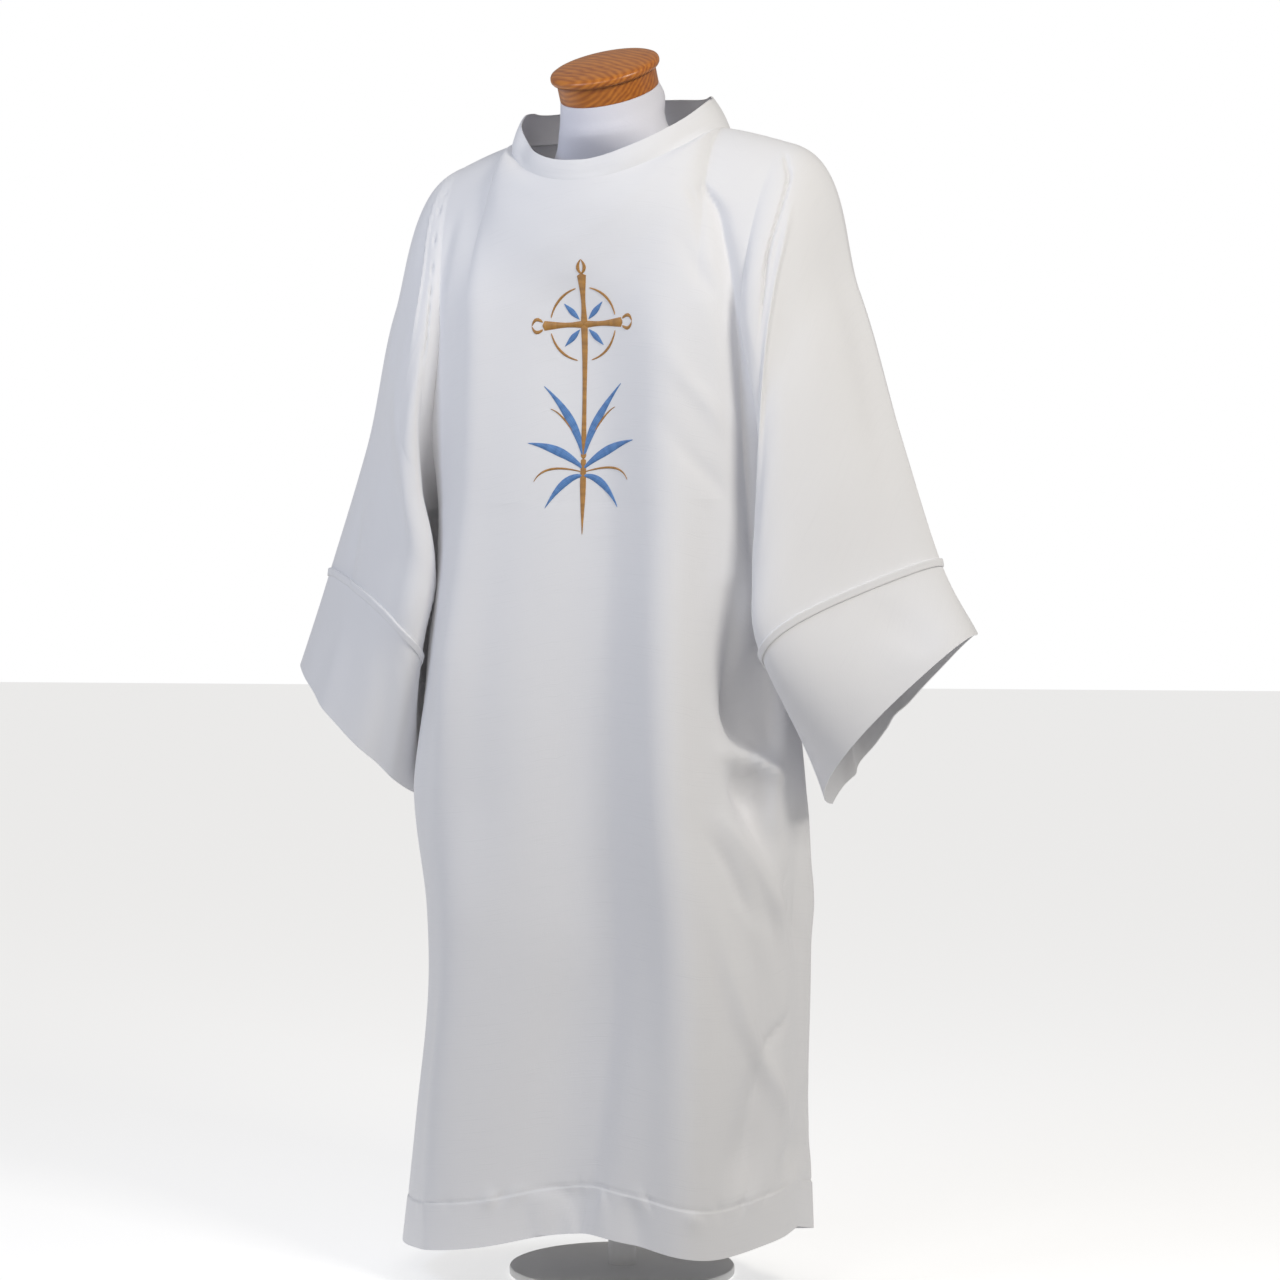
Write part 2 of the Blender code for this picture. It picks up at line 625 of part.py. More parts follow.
def build_collar(finish):
    """A low stand band that leans in towards the neck at the sides and the back."""
    count = 4 * NECK_COLUMNS
    turn = np.arange(count) * 2 * math.pi / count
    foot = neckline(turn)
    forward = np.cos(turn)
    ahead = np.maximum(0.0, forward)
    lean = COLLAR_LEAN[0] + (COLLAR_LEAN[1] - COLLAR_LEAN[0]) * ahead
    height = COLLAR_HEIGHT[0] + (COLLAR_HEIGHT[1] - COLLAR_HEIGHT[0]) * ahead
    inwards = np.stack([-np.sin(turn), forward, 0 * turn], axis=1)
    rise = np.stack([0 * turn, 0 * turn, np.ones(count)], axis=1)
    rows = []
    for share in COLLAR_ROWS:
        up = share * height
        bow = COLLAR_BOW * share * (1 - share) * height
        rows.append(foot + rise * (up + TOUCH)[:, None] + inwards * (up * lean - bow)[:, None])
    outer = np.array(rows)
    inner = outer - grid_normals(outer, closed=True) * COLLAR_CLOTH
    cloth_piece("collar", outer, inner, finish, closed=True)


# ---------------------------------------------------------------- dress form
def form_ring(height, half_width, front_y, back_y, tilt):
    """One ring of the form. A tilted ring drops towards the front."""
    turn = np.arange(FORM_SEGMENTS) * 2 * math.pi / FORM_SEGMENTS
    middle, depth = (front_y + back_y) / 2, (back_y - front_y) / 2
    lean = math.radians(tilt)
    back = depth * np.sin(turn)
    return np.stack(
        [half_width * np.cos(turn), middle + back * math.cos(lean), height + back * math.sin(lean)], axis=1
    )


def neck_ring(radius, along):
    """A ring square to the neck, that distance below the cap's middle."""
    turn = np.arange(FORM_SEGMENTS) * 2 * math.pi / FORM_SEGMENTS
    lean = math.radians(NECK_TILT)
    back = radius * np.sin(turn)
    axis = np.array([0.0, -math.sin(lean), math.cos(lean)])
    flat = np.stack([radius * np.cos(turn), back * math.cos(lean), back * math.sin(lean)], axis=1)
    return np.array(CAP_CENTRE) - axis * along + flat


def closed_loft(name, rings, finish):
    """A solid through rings that run upwards, with a flat face at each end."""
    rings = np.array(rings)
    rows, columns = rings.shape[:2]
    faces = grid_faces(rows, columns, True)
    faces.append(tuple(reversed(range(columns))))
    faces.append(tuple(range((rows - 1) * columns, rows * columns)))
    return add_object(name, rings.reshape(-1, 3), faces, finish)


def build_form(jersey, wood, lacquer):
    wood_foot = CAP_THICKNESS + NECK_RING_LENGTH
    rings = [form_ring(*row) for row in FORM]
    rings.append(neck_ring(NECK_RADIUS + NECK_FLARE, wood_foot + NECK_FLARE_DROP))
    rings.append(neck_ring(NECK_RADIUS, wood_foot + TOUCH))
    closed_loft("form_torso", rings, jersey)
    block = [neck_ring(NECK_RADIUS, along) for along in (wood_foot, CAP_THICKNESS + TOUCH)]
    closed_loft("form_neck_ring", block, wood)
    closed_loft("form_cap", [neck_ring(CAP_RADIUS * r, CAP_THICKNESS * d) for r, d in CAP_PROFILE], wood)
    turned("form_pole", POLE_RADIUS, BASE_THICKNESS + TOUCH, FORM[0][0] - TOUCH, 0.0, lacquer)
    turned("form_base", BASE_RADIUS, 0.0, BASE_THICKNESS, 0.003, lacquer)


def turned(name, radius, low, high, bevel, finish):
    """A round bar or plate on the form's upright axis."""
    turn = np.arange(FORM_SEGMENTS) * 2 * math.pi / FORM_SEGMENTS
    circle = np.stack([np.cos(turn), np.sin(turn)], axis=1)
    profile = [(radius, low), (radius, high)]
    if bevel:
        profile = [(radius, low), (radius, high - bevel), (radius - bevel, high)]
    rings = [np.column_stack([circle * r, np.full(FORM_SEGMENTS, z)]) for r, z in profile]
    return closed_loft(name, rings, finish)


def main():
    clear_scene()
    cloth = material("white_vestment_cloth", WHITE, 0.75)
    wood = material("varnished_wood", WOOD, 0.35)
    surfaces, normals = build_panels()
    for side, stations, cuff in (("left", LEFT_SLEEVE, LEFT_CUFF), ("right", RIGHT_SLEEVE, RIGHT_CUFF)):
        column, ends = build_sleeve(side, surfaces, normals, stations, cuff, cloth)
        for facing in (-1, 1):
            normals[facing][SKIRT_ROWS:, column] = ends[facing]
    close_panels(surfaces, normals, cloth)
    build_collar(cloth)
    build_form(material("form_jersey", JERSEY, 0.85), wood, material("white_lacquer", LACQUER, 0.4))


main()
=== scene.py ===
"""A white dalmatic on its limbless dress form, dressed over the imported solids.

Metres, +Z up. The front of the garment faces -Y, and the wearer's left is +X. Each sewn piece is a
thin shell between an outer and an inner sheet of points, which the named sizes and the short tables
below give. Embroidery, stitching and the smooth form are made on those same surfaces.
"""

import logging
import math
from dataclasses import dataclass, field
from enum import Enum
from typing import Any, NamedTuple

import bmesh
import bpy
import numpy as np
from mathutils import Matrix, Vector
from mathutils.bvhtree import BVHTree


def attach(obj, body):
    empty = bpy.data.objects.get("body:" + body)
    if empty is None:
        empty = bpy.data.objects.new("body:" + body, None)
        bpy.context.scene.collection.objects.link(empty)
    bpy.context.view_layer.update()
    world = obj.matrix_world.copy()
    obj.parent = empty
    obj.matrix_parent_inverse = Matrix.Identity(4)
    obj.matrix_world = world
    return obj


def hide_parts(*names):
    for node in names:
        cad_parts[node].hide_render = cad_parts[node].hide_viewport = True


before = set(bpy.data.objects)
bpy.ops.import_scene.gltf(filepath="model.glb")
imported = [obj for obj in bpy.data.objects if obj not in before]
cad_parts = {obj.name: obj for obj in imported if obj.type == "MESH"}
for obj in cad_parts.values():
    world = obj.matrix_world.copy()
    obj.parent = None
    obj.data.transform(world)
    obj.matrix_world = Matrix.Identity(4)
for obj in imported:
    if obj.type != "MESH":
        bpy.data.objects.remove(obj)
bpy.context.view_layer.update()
LOG = logging.getLogger("dalmatic")

Grid = np.ndarray
Colour = tuple[float, float, float]
Point = tuple[float, float, float]

BODY = "root"
WELD = 1e-6
SMOOTH_BELOW = math.radians(40)
LEAST_CREASE = 0.002
UNEVEN = 0.0009

# Soft unevenness: how many waves, their lengths, how they turn and climb, and what they add up to.
WAVES = 14
WAVE_LENGTHS = (0.07, 0.26)
WAVE_LEAN = 0.6
WAVE_CLIMB = 0.35
WAVE_SUM = 0.45

# Cosines between the two sides of a seam: where it stops being sharp, and how soon it is smooth.
SHARP_TURN = 0.2
SOFT_RANGE = 0.5


class Facing(Enum):
    """The way a panel faces, as the sign of its y."""

    FRONT = -1
    BACK = 1


class Side(Enum):
    """A side of the wearer, as the sign of its x."""

    LEFT = 1
    RIGHT = -1


class Thread(Enum):
    """An embroidery thread, as the record's slot for it."""

    GOLD = "gold_thread"
    BLUE = "blue_thread"


# ---------------------------------------------------------------- tables
class Level(NamedTuple):
    """The body's section at one height. square is 2 for an ellipse and more for a squarer section."""

    height: float
    middle_x: float
    half_width: float
    side_y: float
    front_y: float
    back_y: float
    square: float


class HemPoint(NamedTuple):
    """Height of the hem at one share of the half panel, -1 being the wearer's right."""

    share: float
    front: float
    back: float


class Fold(NamedTuple):
    """A large fold of a panel: its distances from the panel's middle along the cloth at its top
    and foot, its heights, its half width and how far its crest stands out."""

    top_at: float
    foot_at: float
    top: float
    foot: float
    half_width: float
    depth: float


class CreasePoint(NamedTuple):
    """A point of a crease: its level, its place across the cloth, its half width and its depth,
    which is negative for a trough. On a panel the level is a height and the place a distance from
    the middle; on a sleeve the level is a share of the way to the cuff and the place an angle
    round it in degrees, 0 being the outer fold and 90 the front."""

    level: float
    place: float
    half_width: float
    depth: float


class Crease(NamedTuple):
    """A crease through its points. skew widens its far side, and power is 2 for a soft crease and
    nearer 1 for a sharp one."""

    points: tuple[CreasePoint, ...]
    skew: float = 1.0
    power: float = 2.0


class Station(NamedTuple):
    """A sleeve's section: its top fold, its underarm seam, how far the middle of its front and
    back layer lie off the line between those, and how far that fullness has dropped."""

    outer: Point
    under: Point
    front: Point
    back: Point
    low: float


class FormRing(NamedTuple):
    """A level ring of the dress form, tilted about X by some degrees."""

    height: float
    half_width: float
    front_y: float
    back_y: float
    tilt: float


def table(kind: Any, scales: tuple[float, ...], *rows: tuple[float, ...]) -> tuple[Any, ...]:
    """Rows of a kind, each number divided by the scale of its column."""
    return tuple(kind(*(value / scale for value, scale in zip(row, scales))) for row in rows)


def crease(*rows: tuple[float, ...], skew: float = 1.0, power: float = 2.0, place: float = 1000) -> Crease:
    """A crease from its rows, in thousandths but for the depth, which is in ten-thousandths.

    Args:
        rows: Level, place, half width and depth of each point.
        skew: Widens its far side.
        power: 2 for a soft crease and nearer 1 for a sharp one.
        place: The scale of the places.

    Returns:
        The crease.
    """
    return Crease(table(CreasePoint, (1000, place, 1000, 10000), *rows), skew, power)


def turned(*rows: tuple[float, ...], **shape: float) -> Crease:
    """A crease round a sleeve, with its places in degrees."""
    return crease(*rows, place=1, **shape)


UNDERARM = 0.885
CHEST = 1.100

LEVELS = (
    Level(0.000, -0.008, 0.242, -0.040, -0.188, 0.110, 2.15),
    Level(0.150, -0.003, 0.231, -0.036, -0.178, 0.109, 2.20),
    Level(0.320, 0.003, 0.221, -0.030, -0.166, 0.108, 2.25),
    Level(0.500, -0.003, 0.225, -0.026, -0.158, 0.108, 2.30),
    Level(0.700, -0.005, 0.223, -0.020, -0.148, 0.108, 2.35),
    Level(UNDERARM, 0.000, 0.218, -0.010, -0.134, 0.107, 2.45),
    Level(0.990, 0.000, 0.234, -0.006, -0.127, 0.106, 2.55),
    Level(CHEST, 0.000, 0.246, -0.004, -0.122, 0.104, 2.70),
)
# From here lengths are in millimetres, and a crease's depth in tenths of one. table() and crease()
# turn them into metres. The sleeves' stations and the levels above are in metres already.
HEM = table(
    HemPoint, (1, 1000, 1000),
    (-1.00, 34, 34), (-0.62, 38, 34), (-0.28, 52, 45), (0.00, 72.5, 40), (0.12, 77, 43), (0.32, 71, 52),
    (0.62, 56.5, 56), (0.82, 68, 66), (1.00, 79, 79),
)
FRONT_FOLDS = table(
    Fold, (1000,) * 6,
    (4, 0, 1200, -200, 78, -12), (100, 172, 1200, -200, 40, 13), (-120, -150, 1230, 560, 30, 6),
    (-150, -205, 800, 250, 30, 6), (190, 245, 1250, 860, 20, -13), (-200, -235, 1230, 900, 18, -8),
    (2, -2, 420, -200, 55, -9), (-120, -128, 560, -200, 50, 12), (195, 305, 560, 280, 20, -9),
    (270, 330, 200, 20, 18, -8), (232, 226, 800, 480, 28, -16), (-235, -235, 700, 420, 45, 12),
)
FRONT_CREASES = (
    crease((1140, 12, 66, 0), (950, 24, 72, -60), (750, 36, 78, -150), (550, 40, 80, -210),
           (300, 40, 80, -225), (100, 32, 74, -150), (20, 28, 72, -100), skew=0.52),
    crease((1120, 108, 28, 0), (950, 112, 30, 40), (750, 122, 30, 100), (550, 131, 30, 140),
           (300, 146, 30, 140), (100, 156, 30, 90), (20, 160, 30, 60)),
    crease((900, -140, 30, 0), (650, -143, 30, 70), (450, -146, 32, 110), (250, -150, 32, 110),
           (80, -152, 32, 70), (20, -152, 32, 40)),
    crease((1244, 138, 6, 0), (1231, 147, 9, -60), (1213, 159, 12, -100), (1175, 170, 14, -130),
           (1083, 187, 16, -140), (1000, 196, 16, -150), (911, 205, 16, -130), (849, 212, 15, -90),
           (770, 219, 15, 0), skew=0.55, power=1.5),
    crease((1240, 118, 5, 0), (1223, 131, 6, -22), (1204, 141, 6, 0)),
    crease((1190, 112, 12, 0), (1160, 131, 12, -16), (1118, 157, 13, -26), (1080, 176, 12, 0)),
    crease((1060, 112, 12, 0), (1030, 126, 13, 16), (985, 160, 13, 24), (950, 180, 12, 0)),
    crease((985, 105, 14, 0), (945, 128, 14, -16), (900, 166, 14, -22), (865, 190, 12, 0)),
    crease((1225, -140, 12, 0), (1150, -134, 15, 22), (1087, -131, 16, 30), (992, -134, 16, 26),
           (916, -138, 16, 24), (840, -144, 16, 28), (765, -150, 16, 26), (715, -154, 16, 24),
           (563, -164, 18, 26), (448, -192, 18, 0)),
    crease((1235, -182, 6, 0), (1190, -186, 6, -28), (1120, -190, 6, -20), (1050, -190, 6, 0), skew=1.5),
    crease((800, 192, 14, 0), (730, 198, 20, -160), (665, 206, 22, -260), (622, 214, 20, -260),
           (592, 230, 14, 0)),
    crease((800, 244, 20, 0), (720, 244, 28, -160), (650, 250, 30, -240), (618, 256, 24, -160),
           (585, 264, 14, 0)),
    crease((654, 176, 12, 0), (630, 198, 13, 70), (608, 222, 14, 120), (586, 250, 13, 90), (567, 270, 10, 0)),
    crease((602, 206, 18, 0), (580, 218, 23, -220), (558, 226, 24, -310), (532, 233, 24, -240),
           (490, 246, 22, -110), (440, 262, 18, 0)),
    crease((620, 262, 10, 0), (575, 258, 12, 70), (545, 256, 12, 70), (505, 262, 12, 0)),
    crease((545, 178, 12, 0), (517, 205, 14, 50), (451, 254, 16, 70), (396, 288, 15, 50), (360, 300, 13, 0)),
    crease((520, 168, 10, 0), (492, 187, 11, -50), (450, 208, 13, -64), (410, 232, 13, 0)),
    crease((520, 298, 5, 0), (490, 288, 5, -30), (455, 270, 5, -18), (440, 260, 5, 0)),
    crease((345, 300, 7, 0), (321, 290, 7, -65), (290, 258, 8, -42), (272, 236, 8, 0), skew=0.7),
    crease((520, 152, 18, 0), (417, 176, 18, 56), (317, 212, 16, 78), (202, 286, 15, 60), (170, 300, 16, 0)),
    crease((470, 205, 20, 0), (400, 220, 22, -80), (300, 246, 22, -100), (215, 232, 22, -130),
           (165, 225, 24, -140), (120, 222, 20, 0)),
    crease((128, 14, 24, 0), (118, 18, 20, -30), (98, 24, 11, -34), (72, 29, 3, -20), power=2.6),
    crease((128, 59, 3, 0), (118, 59, 6, 24), (98, 60, 13, 28), (60, 62, 24, 20), power=2.6),
    crease((124, -24, 18, 0), (114, -20, 17, 22), (70, -12, 12, 20), power=2.6),
    crease((122, 94, 8, 0), (112, 98, 11, -20), (60, 112, 15, -22)),
    crease((114, -150, 10, 0), (95, -150, 11, 18), (40, -146, 13, 24)),
    crease((112, 160, 5, 0), (106, 163, 7, 20), (84, 170, 10, 0)),
)
BACK_FOLDS = table(
    Fold, (1000,) * 6,
    (0, 0, 1150, -200, 40, -16), (95, 115, 1060, -200, 42, 13), (-100, -125, 1080, -200, 44, 14),
    (185, 215, 1040, -200, 34, -13), (-190, -210, 1000, -200, 32, -14), (265, 275, 680, -200, 28, 9),
    (-265, -275, 640, -200, 28, 9),
)
BACK_CREASES = (
    crease((1262, 150, 8, 0), (1215, 166, 10, -50), (1110, 182, 12, -80), (1000, 192, 13, -90),
           (900, 206, 14, -60), (820, 214, 14, 0), skew=0.6, power=1.5),
    crease((1258, -152, 8, 0), (1200, -170, 10, -60), (1100, -184, 12, -85), (985, -194, 13, -80),
           (880, -208, 14, -50), (800, -216, 14, 0), skew=1.6, power=1.5),
    crease((1230, 60, 12, 0), (1170, 86, 14, 26), (1090, 122, 15, 30), (1020, 150, 14, 0)),
    crease((1215, -50, 13, 0), (1140, -88, 14, -24), (1060, -128, 14, -28), (1000, -150, 13, 0)),
    crease((950, 40, 12, 0), (760, 52, 14, -30), (480, 60, 17, -34), (200, 58, 18, 0), skew=0.6, power=1.6),
    crease((880, -46, 12, 0), (640, -58, 14, -32), (300, -74, 18, -30), (140, -78, 18, 0), skew=1.6,
           power=1.6),
    crease((640, -150, 10, 0), (560, -186, 11, 45), (450, -240, 12, 60), (370, -280, 12, 0)),
    crease((720, 165, 10, 0), (610, 198, 12, 40), (470, 246, 12, 50), (380, 276, 12, 0)),
    crease((112, -90, 20, 0), (100, -88, 16, -28), (30, -84, 4, -20), power=2.6),
    crease((114, 70, 4, 0), (100, 71, 9, 26), (30, 74, 22, 20), power=2.6),
    crease((112, 150, 14, 0), (100, 148, 13, -20), (30, 142, 10, -18)),
)
LEFT_SIDE_CREASES = (
    crease((235, 20, 12, 0), (190, 8, 14, -60), (158, -6, 18, -110), (130, -24, 14, 0), skew=1.6),
    crease((560, 30, 14, 0), (460, 24, 17, 50), (340, 30, 18, 40), (240, 44, 16, 0)),
    crease((480, -22, 12, 0), (420, -6, 13, -40), (370, 14, 12, 0)),
)
RIGHT_SIDE_CREASES = (
    crease((600, 10, 14, 0), (480, 0, 16, -50), (330, -12, 18, -40), (210, -20, 16, 0)),
    crease((520, 40, 12, 0), (400, 34, 14, 40), (260, 38, 14, 0)),
)
LEFT_STATIONS = (
    Station((0.286, 0.014, 1.125), (0.228, 0.0, 0.828), (-0.030, -0.115, 0.0), (-0.030, 0.104, 0.0), 0.10),
    Station((0.337, 0.008, 0.960), (0.240, 0.0, 0.752), (-0.046, -0.122, 0.0), (-0.030, 0.112, 0.0), 0.30),
    Station((0.386, 0.004, 0.815), (0.250, 0.0, 0.680), (-0.045, -0.118, 0.010), (-0.026, 0.108, 0.010), 0.60),
)
LEFT_CUFF = Station(
    (0.429, 0.002, 0.736), (0.246, 0.030, 0.545), (0.010, -0.105, 0.006), (-0.012, 0.082, 0.028), 0.35
)
RIGHT_STATIONS = (
    Station((0.298, 0.014, 1.128), (0.228, 0.0, 0.828), (-0.030, -0.115, 0.0), (-0.030, 0.104, 0.0), 0.10),
    Station((0.344, 0.008, 0.960), (0.240, 0.0, 0.752), (-0.066, -0.108, 0.0), (-0.030, 0.112, 0.0), 0.20),
    Station((0.393, 0.004, 0.812), (0.250, 0.0, 0.670), (-0.066, -0.108, 0.022), (-0.026, 0.108, 0.010), 0.50),
)
RIGHT_CUFF = Station(
    (0.430, 0.000, 0.702), (0.252, 0.000, 0.546), (-0.030, -0.098, -0.004), (-0.034, 0.094, 0.020), 0.30
)
LEFT_SLEEVE_CREASES = (
    turned((10, 16, 4, 0), (30, 23, 5, -40), (54, 28, 6, -60), (81, 43, 7, -60), (100, 55, 8, -60),
           (141, 67, 8, -45), (176, 80, 8, 0), skew=0.8, power=1.6),
    turned((90, 36, 12, 0), (126, 46, 13, 34), (177, 66, 14, 44), (236, 90, 14, 44), (357, 116, 14, 40),
           (608, 124, 14, 34), (760, 131, 13, 0)),
    turned((180, 20, 20, 0), (320, 14, 22, -24), (520, 18, 22, -20), (640, 22, 18, 0)),
    turned((790, 58, 20, 0), (870, 56, 24, -34), (930, 52, 22, -26), (975, 50, 16, 0)),
    turned((880, 205, 8, 0), (940, 207, 9, -60), (1010, 210, 11, -80), power=1.6),
    turned((860, 222, 12, 0), (940, 225, 14, 60), (1010, 228, 18, 90)),
    turned((880, 246, 10, 0), (950, 250, 12, -50), (1010, 254, 14, -70)),
    turned((60, 300, 16, 0), (240, 292, 18, -60), (480, 282, 20, -50), (700, 276, 20, 0)),
    turned((50, 330, 10, 0), (100, 318, 10, -36), (180, 296, 10, 0)),
)
RIGHT_SLEEVE_CREASES = (
    turned((4, 24, 4, 0), (18, 34, 5, -30), (34, 62, 6, -34), (54, 86, 7, -30), (110, 97, 8, 0), skew=1.2,
           power=1.6),
    turned((20, 14, 6, 0), (50, 40, 8, 26), (100, 70, 10, 30), (180, 84, 10, 0)),
    turned((90, 104, 26, 0), (220, 112, 34, 110), (380, 117, 38, 150), (560, 113, 36, 130),
           (680, 112, 30, 80), (820, 114, 26, 0)),
    turned((600, 30, 10, 0), (680, 38, 12, -30), (745, 48, 12, -20), (800, 54, 12, 0)),
    turned((800, 100, 20, 0), (900, 112, 22, -40), (1010, 120, 22, -50)),
    turned((820, 60, 20, 0), (920, 66, 24, 30), (1010, 68, 24, 30)),
    turned((60, 290, 16, 0), (260, 284, 18, -60), (520, 278, 20, -50), (720, 274, 20, 0)),
    turned((860, 230, 12, 0), (940, 232, 14, 50), (1010, 234, 18, 70)),
    turned((50, 328, 10, 0), (110, 316, 10, -34), (190, 298, 10, 0)),
)
FORM_RINGS = table(
    FormRing, (1000, 1000, 1000, 1000, 1),
    (600, 142, -104, 70, 0), (620, 154, -112, 77, 0), (660, 160, -116, 80, 0), (740, 156, -112, 79, 0),
    (830, 140, -98, 74, 0), (910, 134, -92, 70, 0), (990, 142, -94, 70, 0), (1070, 152, -92, 70, 0),
    (1140, 160, -86, 66, 0), (1190, 164, -66, 52, 0), (1225, 158, -46, 36, 0), (1245, 140, -40, 34, 0),
    (1258, 118, -44, 36, 0), (1270, 98, -50, 38, 3), (1284, 82, -58, 38, 8), (1300, 71, -68, 34, 14),
    (1318, 64, -79, 26, 21),
)

CAP_PROFILE = (
    (0.0, -1.0), (0.93, -1.0), (0.975, -0.93), (0.995, -0.78), (1.0, -0.6), (0.995, -0.42), (0.98, -0.28),
    (0.94, -0.17), (0.85, -0.08), (0.7, -0.02), (0.45, 0.07), (0.2, 0.115), (0.0, 0.12),
)


# ---------------------------------------------------------------- curves and surfaces
def smooth_through(xs: Grid, ys: Grid, x: Grid) -> Grid:
    """A cubic through the points of a table.

    Args:
        xs: Rising places of the table.
        ys: Values there.
        x: Places asked for. Those beyond the table take its end values.

    Returns:
        The values at x.
    """
    slopes = np.gradient(ys, xs)
    x = np.clip(x, xs[0], xs[-1])
    i = np.clip(np.searchsorted(xs, x) - 1, 0, len(xs) - 2)
    step = xs[i + 1] - xs[i]
    return hermite(ys[i], step * slopes[i], ys[i + 1], step * slopes[i + 1], (x - xs[i]) / step)


def column(rows: tuple[Any, ...], name: str, at: Grid | float) -> Grid:
    """One column of a table, read at any place of its first column."""
    return smooth_through(np.array([row[0] for row in rows]), np.array([getattr(row, name) for row in rows]), at)


def closed_up(grid: Grid) -> Grid:
    """A grid with its first column again as its last."""
    return np.concatenate([grid, grid[:, :1]], axis=1)


def hermite(start: Grid, start_pull: Grid, end: Grid, end_pull: Grid, t: Grid | float) -> Grid:
    """A cubic from start to end with those tangents.

    Args:
        start: First point.
        start_pull: Tangent there.
        end: Last point.
        end_pull: Tangent there.
        t: Share of the way.

    Returns:
        The point at t.
    """
    return (
        (1 + 2 * t) * (1 - t) ** 2 * start
        + t * (1 - t) ** 2 * start_pull
        + t * t * (3 - 2 * t) * end
        + t * t * (t - 1) * end_pull
    )


def ease(t: Grid | float) -> Grid:
    """0 to 1 with level ends."""
    t = np.clip(t, 0.0, 1.0)
    return t * t * (3 - 2 * t)


def crease_rise(creases: tuple[Crease, ...], level: Grid, place: Grid, scale: Grid | None = None) -> Grid:
    """How far creases move points out.

    Args:
        creases: The creases.
        level: The points' levels.
        place: Their places across the cloth.
        scale: Metres of cloth in a degree at each point, where the places are angles.

    Returns:
        The rise at each point.
    """
    rise = np.zeros(np.broadcast(level, place).shape)
    for one in creases:
        table = np.array(one.points)[np.argsort([point.level for point in one.points])]
        middle, wide, depth = (smooth_through(table[:, 0], table[:, i], level) for i in (1, 2, 3))
        off = place - middle
        if scale is not None:
            off = ((off + 180.0) % 360.0 - 180.0) * scale
        wide = np.maximum(wide, LEAST_CREASE) * np.where(off > 0, one.skew, 1.0)
        depth = np.where((level > table[0, 0]) & (level < table[-1, 0]), depth, 0.0)
        rise += depth * np.exp(-np.abs(off / wide) ** one.power)
    return rise


def grid_normals(points: Grid, closed: bool = False) -> Grid:
    """Unit normals of a grid of points.

    Args:
        points: Rows running up, and columns running to the wearer's left as seen from in front.
        closed: Whether the last column joins the first.

    Returns:
        One normal for each point.
    """
    if closed:
        across = np.roll(points, -1, axis=1) - np.roll(points, 1, axis=1)
    else:
        across = np.gradient(points, axis=1)
    return unit(np.cross(across, np.gradient(points, axis=0)))


def unit(vectors: Grid) -> Grid:
    """The vectors at length 1."""
    return vectors / np.maximum(np.linalg.norm(vectors, axis=-1, keepdims=True), 1e-12)


def shared(one: Grid, other: Grid) -> tuple[Grid, Grid]:
    """The normals on the two sides of a seam, brought together where the cloth runs smoothly on.

    Args:
        one: Normals on one side.
        other: Normals on the other.

    Returns:
        Both, changed.
    """
    along = np.clip(((one * other).sum(axis=-1, keepdims=True) - SHARP_TURN) / SOFT_RANGE, 0.0, 1.0)
    middle = (one + other) / 2
    return unit(one + (middle - one) * along), unit(other + (middle - other) * along)


def run_along(points: Grid, axis: int) -> Grid:
    """Distance along the cloth from the first row or column.

    Args:
        points: A grid of points.
        axis: 0 to run up the rows, 1 to run along the columns.

    Returns:
        One distance for each point.
    """
    steps = np.linalg.norm(np.diff(points, axis=axis), axis=-1)
    start = np.zeros_like(np.take(steps, [0], axis=axis))
    return np.concatenate([start, np.cumsum(steps, axis=axis)], axis=axis)


def unevenness(u: Grid, v: Grid, seed: int, size: float, around: float | None = None) -> Grid:
    """Soft, irregular rise and fall of hanging cloth, made of a few long waves.

    Args:
        u: Place across the cloth.
        v: Place along it.
        seed: Which set of waves.
        size: The usual rise, in metres.
        around: Distance after which u comes round to its start, on a tube.

    Returns:
        The rise at each place.
    """
    chance = np.random.default_rng(seed)
    rise = np.zeros(np.broadcast(u, v).shape)
    for _ in range(WAVES):
        length = chance.uniform(*WAVE_LENGTHS)
        across = math.cos(chance.uniform(-WAVE_LEAN, WAVE_LEAN)) / length
        if around is not None:
            across = max(1, round(across * around)) / around
        up = chance.uniform(-WAVE_CLIMB, WAVE_CLIMB) / length
        wave = np.sin(2 * math.pi * (u * across + v * up + chance.uniform()))
        rise += wave * length
    return rise * size / WAVE_SUM


@dataclass(frozen=True)
class Surface:
    """A grid of points of a sewn piece, with its normals and its place on the flat cloth."""

    points: Grid
    normals: Grid
    flat: Grid


